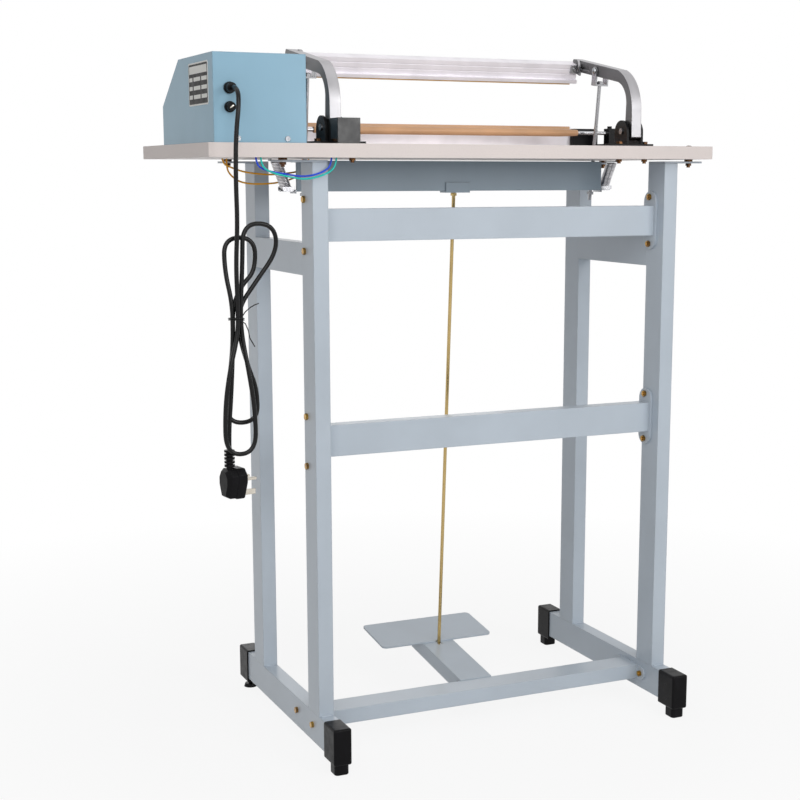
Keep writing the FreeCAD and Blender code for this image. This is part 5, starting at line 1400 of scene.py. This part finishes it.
@dataclass
class Studio:
    """Camera, soft lights, pale floor and white surround."""

    eye: Point = (1.0664, 2.3521, 0.9328)
    ahead: Point = (-0.4057, -0.8973, -0.1742)
    lens: float = 68.2
    sensor: float = 36.0
    shift: tuple[float, float] = (-0.0315, 0.0526)
    aim: Point = (0.0, 0.0, 0.55)
    lamps: tuple[Lamp, ...] = (
        Lamp("key", (1.3, 2.9, 2.3), 2.6, 47.0), Lamp("fill", (-1.25, 2.85, 1.6), 1.2, 25.0),
        Lamp("top", (0.0, 0.2, 3.2), 2.6, 9.0), Lamp("front", (-0.9, -3.2, 0.5), 1.6, 7.0))
    soft_light: float = 0.30
    floor_colour: Colour = (0.88, 0.88, 0.88)
    floor_roughness: float = 0.9
    floor_shine: float = 0.1
    floor_half: float = 9.0
    floor_white: float = 0.88
    fade_start: float = 0.5
    fade_end: float = 1.6

    def stand_at(self, name: str, data: bpy.types.Camera | bpy.types.Light, place: Point,
                 ahead: Vector) -> bpy.types.Object:
        """Puts the camera or a lamp in its place.

        Args:
            name: Its name.
            data: Its camera or light.
            place: Where it is.
            ahead: Which way it looks.

        Returns:
            The new object.
        """
        made = bpy.data.objects.new(name, data)
        made.location = place
        made.rotation_mode = "QUATERNION"
        made.rotation_quaternion = ahead.to_track_quat("-Z", "Y")
        bpy.context.scene.collection.objects.link(made)
        return made

    def camera(self) -> None:
        """Sets the camera at the photograph's angle."""
        data = bpy.data.cameras.new("camera")
        data.lens = self.lens
        data.sensor_width = self.sensor
        data.shift_x, data.shift_y = self.shift
        bpy.context.scene.camera = self.stand_at("camera", data, self.eye, Vector(self.ahead))

    def light(self) -> None:
        """Sets up the lamps, all pointing at the machine's middle."""
        for lamp in self.lamps:
            data = bpy.data.lights.new(lamp.name, "AREA")
            data.size = lamp.size
            data.energy = lamp.power
            self.stand_at(lamp.name, data, lamp.place, Vector(self.aim) - Vector(lamp.place))

    def seen(self, tree: bpy.types.NodeTree) -> Socket:
        """Finds what a camera, glossy or clear ray sees.

        Args:
            tree: The node tree it goes into.

        Returns:
            The socket of 1 for such rays and 0 for others.
        """
        path = tree.nodes.new("ShaderNodeLightPath")
        first = tree.nodes.new("ShaderNodeMath")
        second = tree.nodes.new("ShaderNodeMath")
        first.operation = second.operation = "MAXIMUM"
        tree.links.new(path.outputs["Is Camera Ray"], first.inputs[0])
        tree.links.new(path.outputs["Is Glossy Ray"], first.inputs[1])
        tree.links.new(first.outputs[0], second.inputs[0])
        tree.links.new(path.outputs["Is Transmission Ray"], second.inputs[1])
        return second.outputs[0]

    def surround(self) -> None:
        """Makes the white surround, which lights the object less than it shows."""
        world = bpy.data.worlds.new("surround")
        world.use_nodes = True
        bpy.context.scene.world = world
        tree = world.node_tree
        mix = tree.nodes.new("ShaderNodeMixShader")
        tree.links.new(self.seen(tree), mix.inputs[0])
        for slot, background, strength in ((1, tree.nodes["Background"], self.soft_light),
                                           (2, tree.nodes.new("ShaderNodeBackground"), 1.0)):
            background.inputs["Color"].default_value = (1.0, 1.0, 1.0, 1.0)
            background.inputs["Strength"].default_value = strength
            tree.links.new(background.outputs[0], mix.inputs[slot])
        tree.links.new(mix.outputs[0], tree.nodes["World Output"].inputs["Surface"])

    def floor(self) -> None:
        """Makes the pale floor, which keeps the shadow near the object and fades to the surround's white."""
        hand = Shader("floor_matt")
        hand.fix(Base_Color=linear(self.floor_colour), Roughness=self.floor_roughness,
                 Specular_IOR_Level=self.floor_shine)
        away = hand.node("VectorMath", operation="LENGTH")
        hand.wire(hand.place(), away.inputs[0])
        fade = hand.spread(away.outputs["Value"], self.fade_start, self.fade_end, self.floor_white, 1.0)
        white = hand.node("Emission", Strength=1.0)
        mix = hand.node("MixShader")
        hand.wire(hand.product(self.seen(hand.tree), fade), mix.inputs[0])
        hand.wire(hand.surface.outputs[0], mix.inputs[1])
        hand.wire(white.outputs[0], mix.inputs[2])
        hand.wire(mix.outputs[0], hand.tree.nodes["Material Output"].inputs["Surface"])
        mesh = bpy.data.meshes.new("floor")
        half = self.floor_half
        mesh.from_pydata([(-half, -half, 0.0), (half, -half, 0.0), (half, half, 0.0), (-half, half, 0.0)], [],
                         [(0, 1, 2, 3)])
        mesh.materials.append(hand.material)
        made = bpy.data.objects.new("floor", mesh)
        bpy.context.scene.collection.objects.link(made)

    def build(self) -> None:
        """Sets up the whole studio."""
        self.camera()
        self.surround()
        self.floor()
        self.light()
        bpy.context.scene.view_settings.view_transform = "Standard"


def main() -> None:
    """Builds and dresses the machine, then sets up the studio."""
    logging.basicConfig(level=logging.INFO, format="%(name)s: %(message)s")
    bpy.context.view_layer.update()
    for part in (Stand(), Table(), Jaw(), PullLinkage(), ControlBox(), Wiring()):
        part.build()
        part.dress()
        log.info("finished %s", type(part).__name__)
    Studio().build()


if __name__ == "__main__":
    main()
